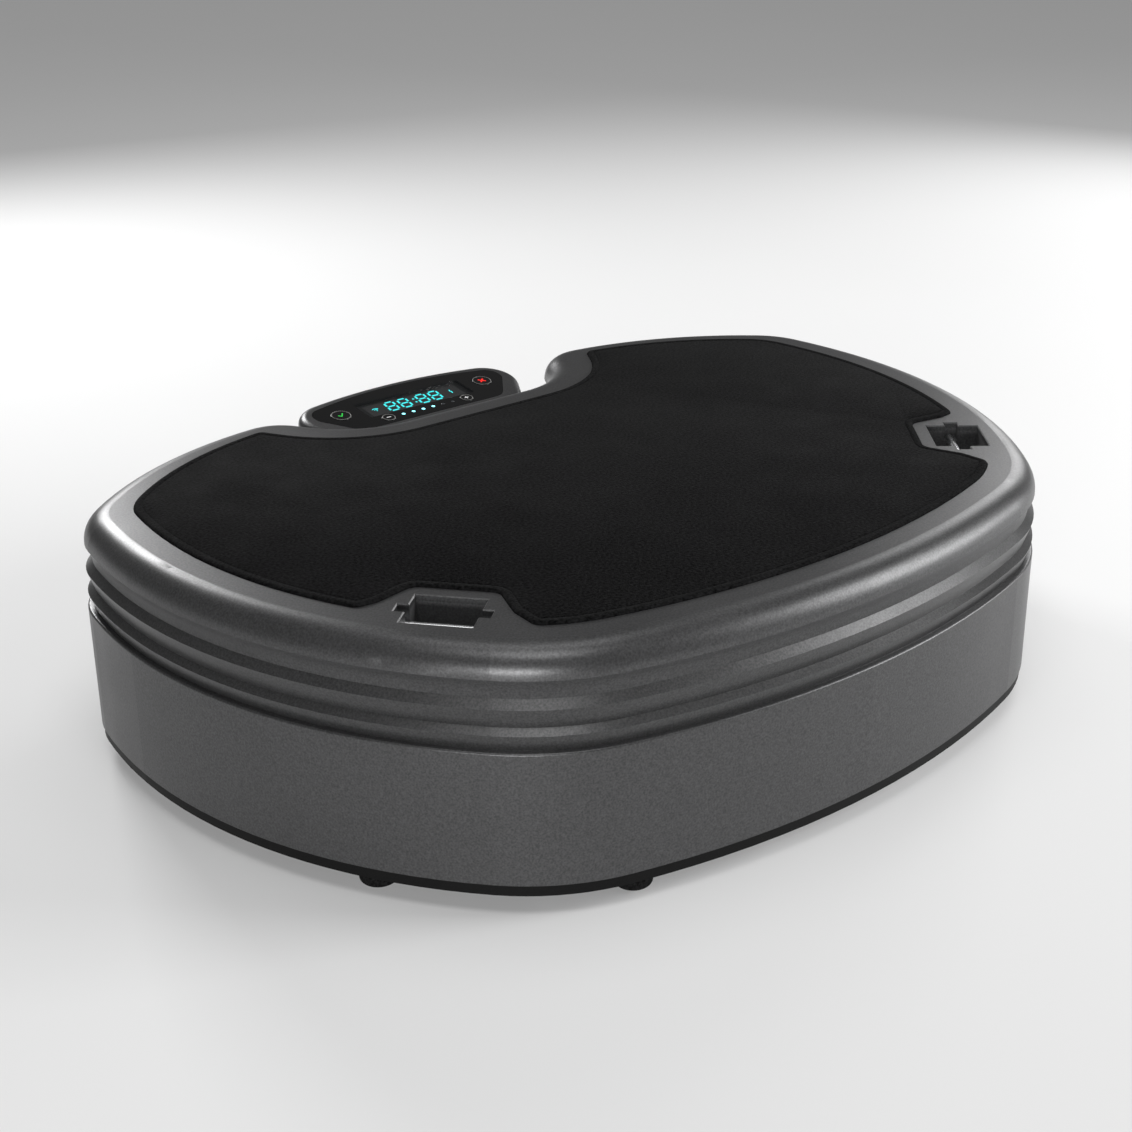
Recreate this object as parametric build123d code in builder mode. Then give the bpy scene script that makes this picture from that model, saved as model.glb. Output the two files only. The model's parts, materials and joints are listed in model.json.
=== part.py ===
"""Low vibration plate: a sprung standing deck over a fixed base, shaken by two counter-rotating motors.

Frame: +X to the right, +Y from the plain front wall to the console, +Z up.
The origin is the centre of the overall box, at the bottom of the rubber feet. Millimetres.
"""

from build123d import *
from math import cos, radians, sin, tan
import os

os.makedirs("parts", exist_ok=True)

# ---------------------------------------------------------------- driving dimensions
overall_width = 690.0
overall_depth = 538.0
overall_height = 176.0

half_width = overall_width / 2
front_y = -overall_depth / 2
rear_y = overall_depth / 2

# plan outline of the body, as turns of tangent arcs
widest_share = 0.592        # how far back the widest point is, as a share of the depth
front_turn = 16.0           # degrees turned by the long front arc
front_corner_turn = 31.6
front_corner_radius = 152.0
side_turn = 9.7
rear_corner_turn = 37.5
rear_corner_radius = 70.0
wing_flat_x = 126.0         # where the rear edge of each wing runs square across

# the swelling of the base behind the console
crown_radius = 420.0
crown_turn = 11.0
bulge_corner_radius = 30.0
bulge_side_turn = 66.0
bulge_root_radius = 20.0

# the notch in the rear of the deck, where the console stands
notch_depth = 62.7          # from the rear edge of the wings
notch_side_angle = 60.0
notch_root_radius = 62.0
wing_tip_radius = 44.0
wing_tip_start = 173.5      # heading of the rear arc where the wing tip begins, degrees

# heights
foot_height = 15.0
base_ring_height = 7.6
skirt_height = 88.4
bellows_height = 32.0
mat_thickness = 4.0
mat_proud = 2.0

base_bottom_z = foot_height
skirt_bottom_z = base_bottom_z + base_ring_height
skirt_top_z = skirt_bottom_z + skirt_height
deck_bottom_z = skirt_top_z + bellows_height
deck_top_z = overall_height - mat_proud
tray_z = overall_height - mat_thickness

# walls
shell_wall = 3.5
skirt_draft = 0.8
ledge_width = 20.0
pan_floor = 3.0
deck_inset = 3.5            # the deck's widest line, inside the base outline
mat_margin = 38.0           # from the base outline to the mat, at the front and sides
mat_corner_growth = 14.7    # the mat's rear corners are rounder, so its rear edge is nearer the wall
mat_tip_start = 170.5       # as wing_tip_start: the border is wider beside the notch
roll_height = 18.0          # from the deck's widest line to its top
top_wall = 4.0
plate_thickness = 4.5
plate_margin = 30.0

# running and fitting clearances
slip = 0.3                  # between pieces that lift out
seat = 0.05                 # between pieces that are pressed or screwed together
running = 0.03              # between a shaft and its bearing
pod_gap = 9.5               # between the moving deck and the fixed console

# strap pockets
pocket_length = 44.0        # along the rim
pocket_width = 38.5         # across the rim
pocket_depth = 26.0
pocket_at = 54.0            # heading of the rim where the pocket is, degrees
pocket_angle = 50.0
pocket_inset = 51.0
pocket_wall = 2.5
notch_length = 7.0          # the slot at each end of a pocket, where the pin drops in
notch_width = 10.0
pin_diameter = 6.0
pin_depth = 12.0            # from the deck's top to the pin's axis

# console
console_tilt = 8.0
console_centre = 41.0       # from the rear of the base to the middle of the panel
panel_z = 160.0
panel_thickness = 2.0
key_travel = 0.6
large_key = 16.6
small_key = 11.4

# deck plate, isolators and motors
isolator_diameter = 48.0
isolator_height = 57.0
end_plate = 3.0
rail_height = 12.0
rail_width = isolator_diameter + 12
leg_size = isolator_diameter - 4
leg_wall = 3.0
motor_diameter = 84.0
motor_length = 120.0
motor_wall = 5.0
motor_x = 95.0
motor_y = -35.0
saddle_web = 6.0
shaft_diameter = 12.0
bearing_diameter = 28.0
bearing_width = 8.0
weight_radius = 36.0
weight_thickness = 20.0

plate_top_z = deck_top_z - top_wall
plate_bottom_z = plate_top_z - plate_thickness
motor_z = plate_bottom_z - saddle_web - motor_diameter / 2
floor_z = base_bottom_z + pan_floor
rail_top_z = floor_z + rail_height
isolator_bottom_z = rail_top_z + end_plate
isolator_top_z = isolator_bottom_z + isolator_height
leg_bottom_z = isolator_top_z + end_plate

widest_y = front_y + widest_share * overall_depth


# ---------------------------------------------------------------- outline arcs
def outer_radii(along, across, first_turn, middle_turn, middle_radius):
    """Radii of the first and last of three tangent arcs that make a quarter turn.

    The quarter starts along one axis and ends square to it, `along` further on and `across` to the left.
    """
    s1, c1 = sin(radians(first_turn)), cos(radians(first_turn))
    s2, c2 = sin(radians(first_turn + middle_turn)), cos(radians(first_turn + middle_turn))
    a = along - middle_radius * (s2 - s1)
    b = across - middle_radius * (c1 - c2)
    # s1 * first + (1 - s2) * last = a   and   (1 - c1) * first + c2 * last = b
    spread = s1 * c2 - (1 - s2) * (1 - c1)
    first = (a * c2 - (1 - s2) * b) / spread
    last = (s1 * b - (1 - c1) * a) / spread
    return first, last


def crown_drop(radius, start, end):
    """How far an arc falls while its heading turns from start to end, in degrees."""
    return radius * (cos(radians(start)) - cos(radians(end)))


wing_rear_y = (
    rear_y
    - crown_drop(crown_radius, 0, crown_turn)
    - crown_drop(bulge_corner_radius, crown_turn, bulge_side_turn)
    - crown_drop(bulge_root_radius, 0, bulge_side_turn)
)
front_radius, side_front_radius = outer_radii(
    half_width, widest_y - front_y, front_turn, front_corner_turn, front_corner_radius
)
side_rear_radius, wing_radius = outer_radii(
    wing_rear_y - widest_y, half_width - wing_flat_x, side_turn, rear_corner_turn, rear_corner_radius
)
notch_y = wing_rear_y - notch_depth


def wall_arcs(inset, last_heading, corner_growth=0.0):
    """Arcs of the right-hand wall, from the front centre round to the rear of the wing."""
    front = JernArc((0, front_y + inset), (1, 0), front_radius - inset, front_turn)
    corner = JernArc(front @ 1, front % 1, front_corner_radius - inset, front_corner_turn)
    side = JernArc(corner @ 1, corner % 1, side_front_radius - inset, 90 - front_turn - front_corner_turn)
    back = JernArc(side @ 1, side % 1, side_rear_radius - inset, side_turn)
    turn = JernArc(back @ 1, back % 1, rear_corner_radius + corner_growth - inset, rear_corner_turn)
    left_to_turn = last_heading - 90 - side_turn - rear_corner_turn
    return JernArc(turn @ 1, turn % 1, wing_radius - inset, left_to_turn)


def deck_line(inset, corner_growth=0.0, tip_start=wing_tip_start):
    """Right half of the deck outline, notched at the rear, moved in by `inset`."""
    with BuildLine() as line:
        wing = wall_arcs(inset, tip_start, corner_growth)
        tip = JernArc(wing @ 1, wing % 1, wing_tip_radius - inset, 180 + notch_side_angle - tip_start)
        root_radius = notch_root_radius + inset
        fall = (tip @ 1).Y - (notch_y - inset) - root_radius * (1 - cos(radians(notch_side_angle)))
        side = PolarLine(tip @ 1, fall / sin(radians(notch_side_angle)), 180 + notch_side_angle)
        root = JernArc(side @ 1, side % 1, root_radius, -notch_side_angle)
        Line(root @ 1, (0, notch_y - inset))
    return line.line


def base_line(inset):
    """Right half of the base outline, swollen at the rear under the console, moved in by `inset`."""
    with BuildLine() as line:
        wing = wall_arcs(inset, 180)
        crown = JernArc((0, rear_y - inset), (1, 0), crown_radius - inset, -crown_turn)
        corner = JernArc(crown @ 1, crown % 1, bulge_corner_radius - inset, crown_turn - bulge_side_turn)
        root = JernArc(corner @ 1, corner % 1, bulge_root_radius + inset, bulge_side_turn)
        Line(wing @ 1, root @ 1)
    return line.line


def full_face(half_line):
    """Face inside a half outline and its mirror image."""
    with BuildSketch() as sketch:
        with BuildLine():
            add(half_line)
            mirror(about=Plane.YZ)
        make_face()
    return sketch.sketch


def rim_point(heading, inset):
    """Point on the front right wall where it runs at `heading`, moved in by `inset`."""
    x, y, turned = 0.0, front_y, 0.0
    arcs = (
        (front_radius, front_turn),
        (front_corner_radius, front_corner_turn),
        (side_front_radius, 90 - front_turn - front_corner_turn),
    )
    for radius, turn in arcs:
        until = min(turned + turn, max(turned, heading))
        x += radius * (sin(radians(until)) - sin(radians(turned)))
        y += radius * (cos(radians(turned)) - cos(radians(until)))
        turned += turn
    return x - inset * sin(radians(heading)), y + inset * cos(radians(heading))


def ring(half_line, section):
    """Solid made by carrying a section, drawn as (inward from the outline, height), round the outline."""
    with BuildPart() as swept:
        with BuildSketch(Plane(origin=(0, front_y, 0), x_dir=(0, 1, 0), z_dir=(1, 0, 0))):
            add(section)
        sweep(path=half_line)
        mirror(about=Plane.YZ)
    return swept.part


def polygon_face(*points):
    """Face with straight sides, given corner by corner."""
    with BuildSketch() as sketch:
        with BuildLine():
            Polyline(*points, close=True)
        make_face()
    return sketch.sketch


def save(solid, label):
    """Name a finished piece and write it."""
    solid.label = label
    export_step(solid, f"parts/{label}.step")


def save_pair(solid, label):
    """Write a right-hand piece and its mirror image on the left."""
    save(solid, f"{label}_right")
    save(mirror(solid, about=Plane.YZ), f"{label}_left")


def save_both(solid, label):
    """Write a right-hand piece and its mirror image on the left together, under one name."""
    save(solid + mirror(solid, about=Plane.YZ), label)


# ---------------------------------------------------------------- shared places
pocket_x, pocket_y = rim_point(pocket_at, pocket_inset)
pocket_place = Location((pocket_x, pocket_y, 0), (0, 0, pocket_angle))

foot_diameter = 25.0
foot_inset = 23.0
foot_edge_radius = 3.0
foot_screw = 5.0
foot_places_right = [
    rim_point(15, foot_inset),
    rim_point(60.5, foot_inset),
    (half_width - foot_inset, widest_y + 46),
    (wing_flat_x + 62, wing_rear_y - foot_inset - 16),
]

post_diameter = 11.0
post_hole_depth = 18.0
post_inset = 14.0
post_screw = 4.0
post_places_right = [
    rim_point(6, post_inset),
    rim_point(36, post_inset),
    rim_point(76, post_inset),
    (half_width - post_inset, widest_y + 8),
    (wing_flat_x + 34, wing_rear_y - post_inset - 3),
]

# across, as shares of the half width, so that they stay inside the curved wall
isolator_places_right = [
    (0.4783 * half_width, front_y + 92),
    (0.6812 * half_width, wing_rear_y - 81.7),
]

# the motors hang between two stiffeners, clear of their eccentric weights
motor_end_gap = 4.0
weight_reach = motor_length / 2 + motor_end_gap + weight_thickness
stiffener_gap = 6.0
stiffener_flange = 25.0
front_stiffener_y = motor_y - weight_reach - stiffener_gap
rear_stiffener_y = motor_y + weight_reach + stiffener_gap

# the middle screws stand part of the way from a stiffener's flange to the edge of the mat
deck_screw = 5.0
front_flange_end = front_stiffener_y - stiffener_flange
rear_flange_end = rear_stiffener_y + stiffener_flange
front_screw_y = front_flange_end + 0.58 * (front_y + mat_margin - front_flange_end)
rear_screw_y = rear_flange_end + 0.53 * (notch_y - mat_margin - rear_flange_end)
deck_screw_places_right = [
    (0.13 * half_width, front_screw_y),
    (half_width - 88, widest_y - 60),
    (half_width - 72, widest_y + 60),
    (0.13 * half_width, rear_screw_y),
    (0.38 * half_width, widest_y + 70),
]


def both_sides(places):
    """The given places and their mirror images in the YZ plane."""
    return places + [(-x, y) for x, y in places]


foot_places = both_sides(foot_places_right)
post_places = both_sides(post_places_right)
isolator_places = both_sides(isolator_places_right)
deck_screw_places = both_sides(deck_screw_places_right)

console_y = rear_y - console_centre
console_near_y = notch_y - deck_inset + pod_gap
pod_post_places = both_sides([(70, console_near_y + 26), (68, rear_y - 22)])

rib_end_gap = 8.0
rib_start = isolator_places_right[0][1] + rail_width / 2 + rib_end_gap
rib_end = isolator_places_right[1][1] - rail_width / 2 - rib_end_gap
electronics_x = 100.0
electronics_y = (rib_start + rib_end) / 2
drive_board_size = (140.0, 96.0)
drive_hole_inset = 8.0
board_boss = 7.0
board_boss_height = 11.0
board_screw = 2.5
drive_hole_places = [
    (electronics_x + sx * (drive_board_size[0] / 2 - drive_hole_inset),
     electronics_y + sy * (drive_board_size[1] / 2 - drive_hole_inset))
    for sx in (-1, 1)
    for sy in (-1, 1)
]


# ---------------------------------------------------------------- base pan
pan_inset = 1.0
pan_lip_height = 12.0
pan_lip_thickness = 2.5
pan_lip_inset = shell_wall + slip
pan_rib_height = 5.0
pan_rib_thickness = 2.0
pan_rib_spacing = 60.0
pan_rib_count = 7

pan_rim = polygon_face(
    (pan_inset, base_bottom_z),
    (pan_inset, skirt_bottom_z),
    (pan_lip_inset, skirt_bottom_z),
    (pan_lip_inset, skirt_bottom_z + pan_lip_height),
    (pan_lip_inset + pan_lip_thickness, skirt_bottom_z + pan_lip_height),
    (pan_lip_inset + pan_lip_thickness, base_bottom_z),
)

with BuildPart() as base_pan:
    with BuildSketch(Plane.XY.offset(base_bottom_z)):
        add(full_face(base_line(pan_lip_inset)))
    extrude(amount=pan_floor)
    add(ring(base_line(0), pan_rim))
    with BuildSketch(Plane.XY.offset(floor_z)):
        with Locations((0, (rib_start + rib_end) / 2)):
            with GridLocations(pan_rib_spacing, 0, pan_rib_count, 1):
                Rectangle(pan_rib_thickness, rib_end - rib_start)
    extrude(amount=pan_rib_height)
    with BuildSketch(Plane.XY.offset(floor_z)):
        with Locations(drive_hole_places):
            Circle(board_boss / 2)
            Circle(board_screw / 2, mode=Mode.SUBTRACT)
    extrude(amount=board_boss_height)
    with Locations((0, 0, base_bottom_z)):
        with Locations([(x, y, 0) for x, y in foot_places]):
            Cylinder(foot_screw / 2 + seat, 2 * pan_floor, mode=Mode.SUBTRACT)
        with Locations([(x, y, 0) for x, y in post_places]):
            Cylinder(post_screw / 2 + seat, 2 * pan_floor, mode=Mode.SUBTRACT)
save(base_pan.part, "base_pan")


# ---------------------------------------------------------------- feet
foot_head = 9.0
foot_recess = 6.0
nut_height = 4.0
nut_radius = 4.6            # to its corners

with BuildPart() as rubber_feet:
    with Locations([(x, y, 0) for x, y in foot_places]):
        Cylinder(foot_diameter / 2, foot_height, align=(Align.CENTER, Align.CENTER, Align.MIN))
    fillet(rubber_feet.faces().group_by(Axis.Z)[0].edges(), radius=foot_edge_radius)
    with Locations([(x, y, 0) for x, y in foot_places]):
        Cylinder(foot_screw / 2 + seat, 3 * foot_height, mode=Mode.SUBTRACT)
        Cylinder(foot_head / 2 + slip, 2 * foot_recess, mode=Mode.SUBTRACT)
save(rubber_feet.part, "rubber_feet")

foot_head_height = 3.5
foot_screw_end = 1.5         # beyond the nut
foot_screw_length = floor_z - foot_recess + nut_height + foot_screw_end
with BuildPart() as foot_screws:
    with Locations([(x, y, foot_recess) for x, y in foot_places]):
        Cylinder(foot_head / 2, foot_head_height, align=(Align.CENTER, Align.CENTER, Align.MAX))
        Cylinder(foot_screw / 2, foot_screw_length, align=(Align.CENTER, Align.CENTER, Align.MIN))
save(foot_screws.part, "foot_screws")

with BuildPart() as foot_nuts:
    with BuildSketch(Plane.XY.offset(floor_z)):
        with Locations(foot_places):
            RegularPolygon(nut_radius, 6)
            Circle(foot_screw / 2 + seat, mode=Mode.SUBTRACT)
    extrude(amount=nut_height)
save(foot_nuts.part, "foot_nuts")


# ---------------------------------------------------------------- lower shell
skirt_wall = polygon_face(
    (0, skirt_bottom_z),
    (skirt_draft, skirt_top_z),
    (ledge_width / 2, skirt_top_z),
    (ledge_width / 2, skirt_top_z - shell_wall),
    (skirt_draft + shell_wall, skirt_top_z - shell_wall),
    (shell_wall, skirt_bottom_z),
)
skirt_edge_radius = 1.6
power_plate_width = 96.0
power_plate_height = 46.0
power_opening_margin = 9.0
power_z = 64.0
power_wall_y = rear_y - (power_plate_width / 2) ** 2 / (2 * crown_radius) - shell_wall - skirt_draft
power_plane = Plane(origin=(0, power_wall_y, power_z), x_dir=(-1, 0, 0), z_dir=(0, 1, 0))
power_screw = 3.0
power_screw_reach = 3.3     # into the pad behind the wall
power_screw_grid = (power_plate_width - power_opening_margin, power_plate_height - power_opening_margin)
harness_hole = 40.0
harness_corner = 6.0
pod_screw = 4.0

with BuildSketch() as skirt_section:
    add(skirt_wall)
    fillet(skirt_section.vertices().group_by(Axis.Y)[-1].sort_by(Axis.X)[0], radius=skirt_edge_radius)

# a flat pad moulded behind the rear wall, for the power plate
with BuildPart() as power_pad:
    with BuildSketch(power_plane):
        Rectangle(power_plate_width, power_plate_height)
    extrude(amount=rear_y - power_wall_y)
    with BuildSketch(Plane.XY):
        add(full_face(base_line(shell_wall - 1)))
    extrude(amount=skirt_top_z, mode=Mode.INTERSECT)

with BuildPart() as lower_shell:
    add(ring(base_line(0), skirt_section.sketch))
    add(power_pad.part)
    with BuildSketch(Plane.XY.offset(skirt_top_z - shell_wall)):
        add(full_face(base_line(ledge_width / 3)))
        add(full_face(deck_line(ledge_width)), mode=Mode.SUBTRACT)
        with Locations((0, console_y)):
            RectangleRounded(2 * harness_hole, harness_hole, harness_corner, mode=Mode.SUBTRACT)
    extrude(amount=shell_wall)
    with BuildSketch(Plane.XY.offset(floor_z)):
        with Locations(post_places):
            Circle(post_diameter / 2)
    extrude(amount=skirt_top_z - shell_wall - floor_z)
    with Locations([(x, y, floor_z) for x, y in post_places]):
        Cylinder(post_screw / 2, 2 * post_hole_depth, mode=Mode.SUBTRACT)
    with Locations([(x, y, skirt_top_z) for x, y in pod_post_places]):
        Cylinder(pod_screw / 2 + seat, 3 * shell_wall, mode=Mode.SUBTRACT)
    with Locations((0, rear_y, power_z)):
        Box(
            power_plate_width - 2 * power_opening_margin,
            4 * ledge_width,
            power_plate_height - 2 * power_opening_margin,
            mode=Mode.SUBTRACT,
        )
    with BuildSketch(power_plane):
        with GridLocations(*power_screw_grid, 2, 2):
            Circle(power_screw / 2)
    extrude(amount=power_screw_reach, mode=Mode.SUBTRACT)
save(lower_shell.part, "lower_shell")

screw_head_height = 2.6
with BuildPart() as shell_screws:
    with Locations([(x, y, base_bottom_z) for x, y in post_places]):
        Cylinder(post_screw, screw_head_height, align=(Align.CENTER, Align.CENTER, Align.MAX))
        Cylinder(post_screw / 2 - seat, post_hole_depth, align=(Align.CENTER, Align.CENTER, Align.MIN))
save(shell_screws.part, "shell_screws")


# ---------------------------------------------------------------- bellows
upper_crest_inset = 2.6
lower_crest_inset = 2.0
groove_inset = 6.6
heel_inset = 5.2            # where the bellows meets the base
heel_height = 0.4
bellows_wall = 2.2
upper_crest_drop = 5.0
tier_height = 16.5
shoulder_height = 3.5
flange_inset = 15.0
flange_height = 2.0
lip_inset = deck_inset + 4.0

crest_z = deck_bottom_z - upper_crest_drop
groove_z = crest_z - tier_height + shoulder_height
lower_crest_z = crest_z - tier_height
heel_z = skirt_top_z + heel_height

bellows_wave = polygon_face(
    (lip_inset, deck_bottom_z),
    (upper_crest_inset, crest_z),
    (groove_inset, groove_z),
    (lower_crest_inset, lower_crest_z),
    (heel_inset, heel_z),
    (heel_inset, skirt_top_z),
    (flange_inset, skirt_top_z),
    (flange_inset, skirt_top_z + flange_height),
    (heel_inset + bellows_wall, skirt_top_z + flange_height),
    (lower_crest_inset + bellows_wall, lower_crest_z),
    (groove_inset + bellows_wall, groove_z),
    (upper_crest_inset + bellows_wall, crest_z),
    (lip_inset + bellows_wall, deck_bottom_z - flange_height),
    (flange_inset, deck_bottom_z - flange_height),
    (flange_inset, deck_bottom_z),
)

with BuildPart() as bellows:
    add(ring(deck_line(0), bellows_wave))
save(bellows.part, "bellows")


# ---------------------------------------------------------------- top shell
roll_z = deck_top_z - roll_height
roll_radius = deck_top_z - roll_z
lip_flange = 18.0
lip_thickness = 3.0
flat_inset = 30.0

with BuildSketch() as roll_section:
    with BuildLine():
        upper = CenterArc((deck_inset + roll_radius, roll_z), roll_radius, 90, 90)
        lower_radius = ((lip_inset - deck_inset) ** 2 + (roll_z - deck_bottom_z) ** 2) / (
            2 * (lip_inset - deck_inset)
        )
        lower = RadiusArc(upper @ 1, (lip_inset, deck_bottom_z), lower_radius)
        Polyline(
            lower @ 1,
            (lip_flange, deck_bottom_z),
            (lip_flange, deck_bottom_z + lip_thickness),
            (lip_inset + shell_wall, deck_bottom_z + lip_thickness),
            (deck_inset + shell_wall, roll_z),
        )
        inner = CenterArc((deck_inset + roll_radius, roll_z), roll_radius - shell_wall, 90, 90)
        Polyline(
            inner @ 0,
            (flat_inset, deck_top_z - shell_wall),
            (flat_inset, deck_top_z),
            upper @ 0,
        )
    make_face()

# the mat is cut away beside each pocket: half-widths, and places in or out from the pocket's middle
bite_inner = 27.0
bite_inner_y = 29.5
bite_waist = 41.0
bite_waist_y = 4.0
bite_mouth = 66.0
bite_mouth_y = -20.0
bite_root_radius = 9.0
bite_waist_radius = 14.0
mat_tip = 57.0
mat_tip_y = -11.0
mat_tip_radius = 8.0
mat_edge_radius = 0.8


def pocket_points(x, y):
    """The two places (x, y) and (-x, y), measured from the middle of the right-hand pocket."""
    return [(pocket_place * Location((side * x, y, 0))).position for side in (1, -1)]


def corners_near(sketch, places):
    """The sketch's corner nearest to each place."""
    return [sketch.vertices().sort_by_distance(place)[0] for place in places]


def pocket_face(grow):
    """Mouth of the right-hand strap pocket, with the slot at each end for the pin."""
    with BuildSketch() as sketch:
        with Locations(pocket_place):
            Rectangle(pocket_length + 2 * grow, pocket_width + 2 * grow)
            Rectangle(pocket_length + 2 * notch_length + 2 * grow, notch_width + 2 * grow)
    return sketch.sketch


def mat_face(grow):
    """Outline of the standing mat, cut away beside both pockets, made larger by `grow`."""
    with BuildSketch() as bite:
        with Locations(pocket_place):
            Polygon(
                (-bite_inner + grow, bite_inner_y - grow),
                (bite_inner - grow, bite_inner_y - grow),
                (bite_waist - grow, bite_waist_y),
                (bite_mouth - grow, bite_mouth_y),
                (-bite_mouth + grow, bite_mouth_y),
                (-bite_waist + grow, bite_waist_y),
                align=None,
            )
        roots = pocket_points(bite_inner - grow, bite_inner_y - grow)
        fillet(corners_near(bite, roots), radius=bite_root_radius)
        waists = pocket_points(bite_waist - grow, bite_waist_y)
        fillet(corners_near(bite, waists), radius=bite_waist_radius)
        mirror(about=Plane.YZ)
    with BuildSketch() as sketch:
        add(full_face(deck_line(mat_margin - grow, mat_corner_growth, mat_tip_start)))
        add(bite.sketch, mode=Mode.SUBTRACT)
        tips = pocket_points(mat_tip, mat_tip_y)
        tips += [(-tip.X, tip.Y) for tip in tips]
        fillet(corners_near(sketch, tips), radius=mat_tip_radius)
    return sketch.sketch


def both_pockets(grow):
    """The mouths of both strap pockets."""
    with BuildSketch() as sketch:
        add(pocket_face(grow))
        mirror(about=Plane.YZ)
    return sketch.sketch


pocket_chamfer = 0.7
deck_head_radius = deck_screw / 2 + tray_z - plate_top_z

with BuildPart() as top_shell:
    add(ring(deck_line(0), roll_section.sketch))
    with BuildSketch(Plane.XY.offset(plate_top_z)):
        add(full_face(deck_line(flat_inset - 1)))
    extrude(amount=top_wall)
    with BuildSketch(Plane.XY.offset(tray_z)):
        add(mat_face(slip))
    extrude(amount=2 * mat_proud, mode=Mode.SUBTRACT)
    with BuildSketch(Plane.XY.offset(plate_top_z)):
        add(both_pockets(0))
    extrude(amount=2 * top_wall, mode=Mode.SUBTRACT)
    rim = top_shell.faces().filter_by(Plane.XY).sort_by(Axis.Z)[-1]
    mouths = [wire for wire in rim.inner_wires() if wire.length < 6 * pocket_length]
    chamfer([edge for wire in mouths for edge in wire.edges()], length=pocket_chamfer)
    with Locations([(x, y, tray_z) for x, y in deck_screw_places]):
        CounterSinkHole(deck_screw / 2 + seat, deck_head_radius + seat, top_wall, counter_sink_angle=90)
save(top_shell.part, "top_shell")


# ---------------------------------------------------------------- standing mat
with BuildPart() as deck_mat:
    with BuildSketch(Plane.XY.offset(tray_z)):
        add(mat_face(0))
    extrude(amount=mat_thickness)
    fillet(deck_mat.faces().sort_by(Axis.Z)[-1].edges(), radius=mat_edge_radius)
save(deck_mat.part, "deck_mat")


# ---------------------------------------------------------------- strap pockets
cup_flange = 5.0
cup_flange_height = 2.0
cup_floor_z = deck_top_z - pocket_depth
pin_z = deck_top_z - pin_depth
pin_end_gap = 0.4
pin_length = pocket_length + 2 * notch_length - 2 * pin_end_gap

with BuildPart() as strap_cup:
    with BuildSketch(Plane.XY.offset(cup_floor_z - pocket_wall)):
        add(pocket_face(pocket_wall))
    extrude(amount=plate_top_z - cup_floor_z + pocket_wall)
    with BuildSketch(Plane.XY.offset(plate_top_z - cup_flange_height)):
        add(pocket_face(pocket_wall + cup_flange))
    extrude(amount=cup_flange_height)
    with BuildSketch(Plane.XY.offset(cup_floor_z)):
        with Locations(pocket_place):
            Rectangle(pocket_length, pocket_width)
    extrude(amount=2 * pocket_depth, mode=Mode.SUBTRACT)
    with BuildSketch(Plane.XY.offset(pin_z)):
        add(pocket_face(0))
    extrude(amount=2 * pocket_depth, mode=Mode.SUBTRACT)
    with Locations(Location((pocket_x, pocket_y, pin_z), (0, 0, pocket_angle))):
        Cylinder(
            pin_diameter / 2 + seat,
            pocket_length + 2 * notch_length,
            rotation=(0, 90, 0),
            mode=Mode.SUBTRACT,
        )
save_pair(strap_cup.part, "strap_cup")

with BuildPart() as strap_pin:
    with Locations(Location((pocket_x, pocket_y, pin_z), (0, 0, pocket_angle))):
        Cylinder(pin_diameter / 2, pin_length, rotation=(0, 90, 0))
    chamfer(strap_pin.edges().filter_by(GeomType.CIRCLE), length=0.6)
save_both(strap_pin.part, "strap_pins")


# ---------------------------------------------------------------- deck plate
with BuildPart() as deck_plate:
    with BuildSketch(Plane.XY.offset(plate_bottom_z)):
        add(full_face(deck_line(plate_margin)))
        add(both_pockets(pocket_wall + cup_flange + slip), mode=Mode.SUBTRACT)
        with Locations(deck_screw_places):
            Circle(deck_screw / 2 + seat, mode=Mode.SUBTRACT)
    extrude(amount=plate_thickness)
save(deck_plate.part, "deck_plate")

deck_screw_length = 11.0
with BuildPart() as deck_screws:
    with Locations([(x, y, tray_z) for x, y in deck_screw_places]):
        Cylinder(deck_screw / 2, deck_screw_length, align=(Align.CENTER, Align.CENTER, Align.MAX))
        Cone(
            deck_screw / 2,
            deck_head_radius,
            tray_z - plate_top_z,
            align=(Align.CENTER, Align.CENTER, Align.MAX),
        )
save(deck_screws.part, "deck_screws")


# ---------------------------------------------------------------- isolators, rails and legs
rail_wall = 3.0
rail_overhang = 36.0
bolt_diameter = 8.0
bolt_head_height = 5.3
bolt_depth = 12.0
bolt_head = 7.0             # circumscribed radius of a hexagon head

with BuildPart() as base_rails:
    for x, y in isolator_places_right:
        length = 2 * (x + rail_overhang)
        with BuildSketch(Plane.XY.offset(floor_z)):
            with Locations((0, y)):
                Rectangle(length, rail_width)
        extrude(amount=rail_height)
        with BuildSketch(Plane.XY.offset(floor_z)):
            with Locations((0, y)):
                Rectangle(length, rail_width - 2 * rail_wall)
        extrude(amount=rail_height - rail_wall, mode=Mode.SUBTRACT)
    with Locations([(x, y, rail_top_z) for x, y in isolator_places]):
        Hole(bolt_diameter / 2 + seat, 2 * rail_height)
save(base_rails.part, "base_rails")


def end_plates(z):
    """A steel plate at one end of each isolator, with its bottom face at height z."""
    with BuildPart() as plates:
        with BuildSketch(Plane.XY.offset(z)):
            with Locations(isolator_places):
                RectangleRounded(isolator_diameter + 6, isolator_diameter + 6, 8)
                Circle(bolt_diameter / 2 + seat, mode=Mode.SUBTRACT)
        extrude(amount=end_plate)
    return plates.part


save(end_plates(rail_top_z), "isolator_base_plates")
save(end_plates(isolator_top_z), "isolator_top_plates")

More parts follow.
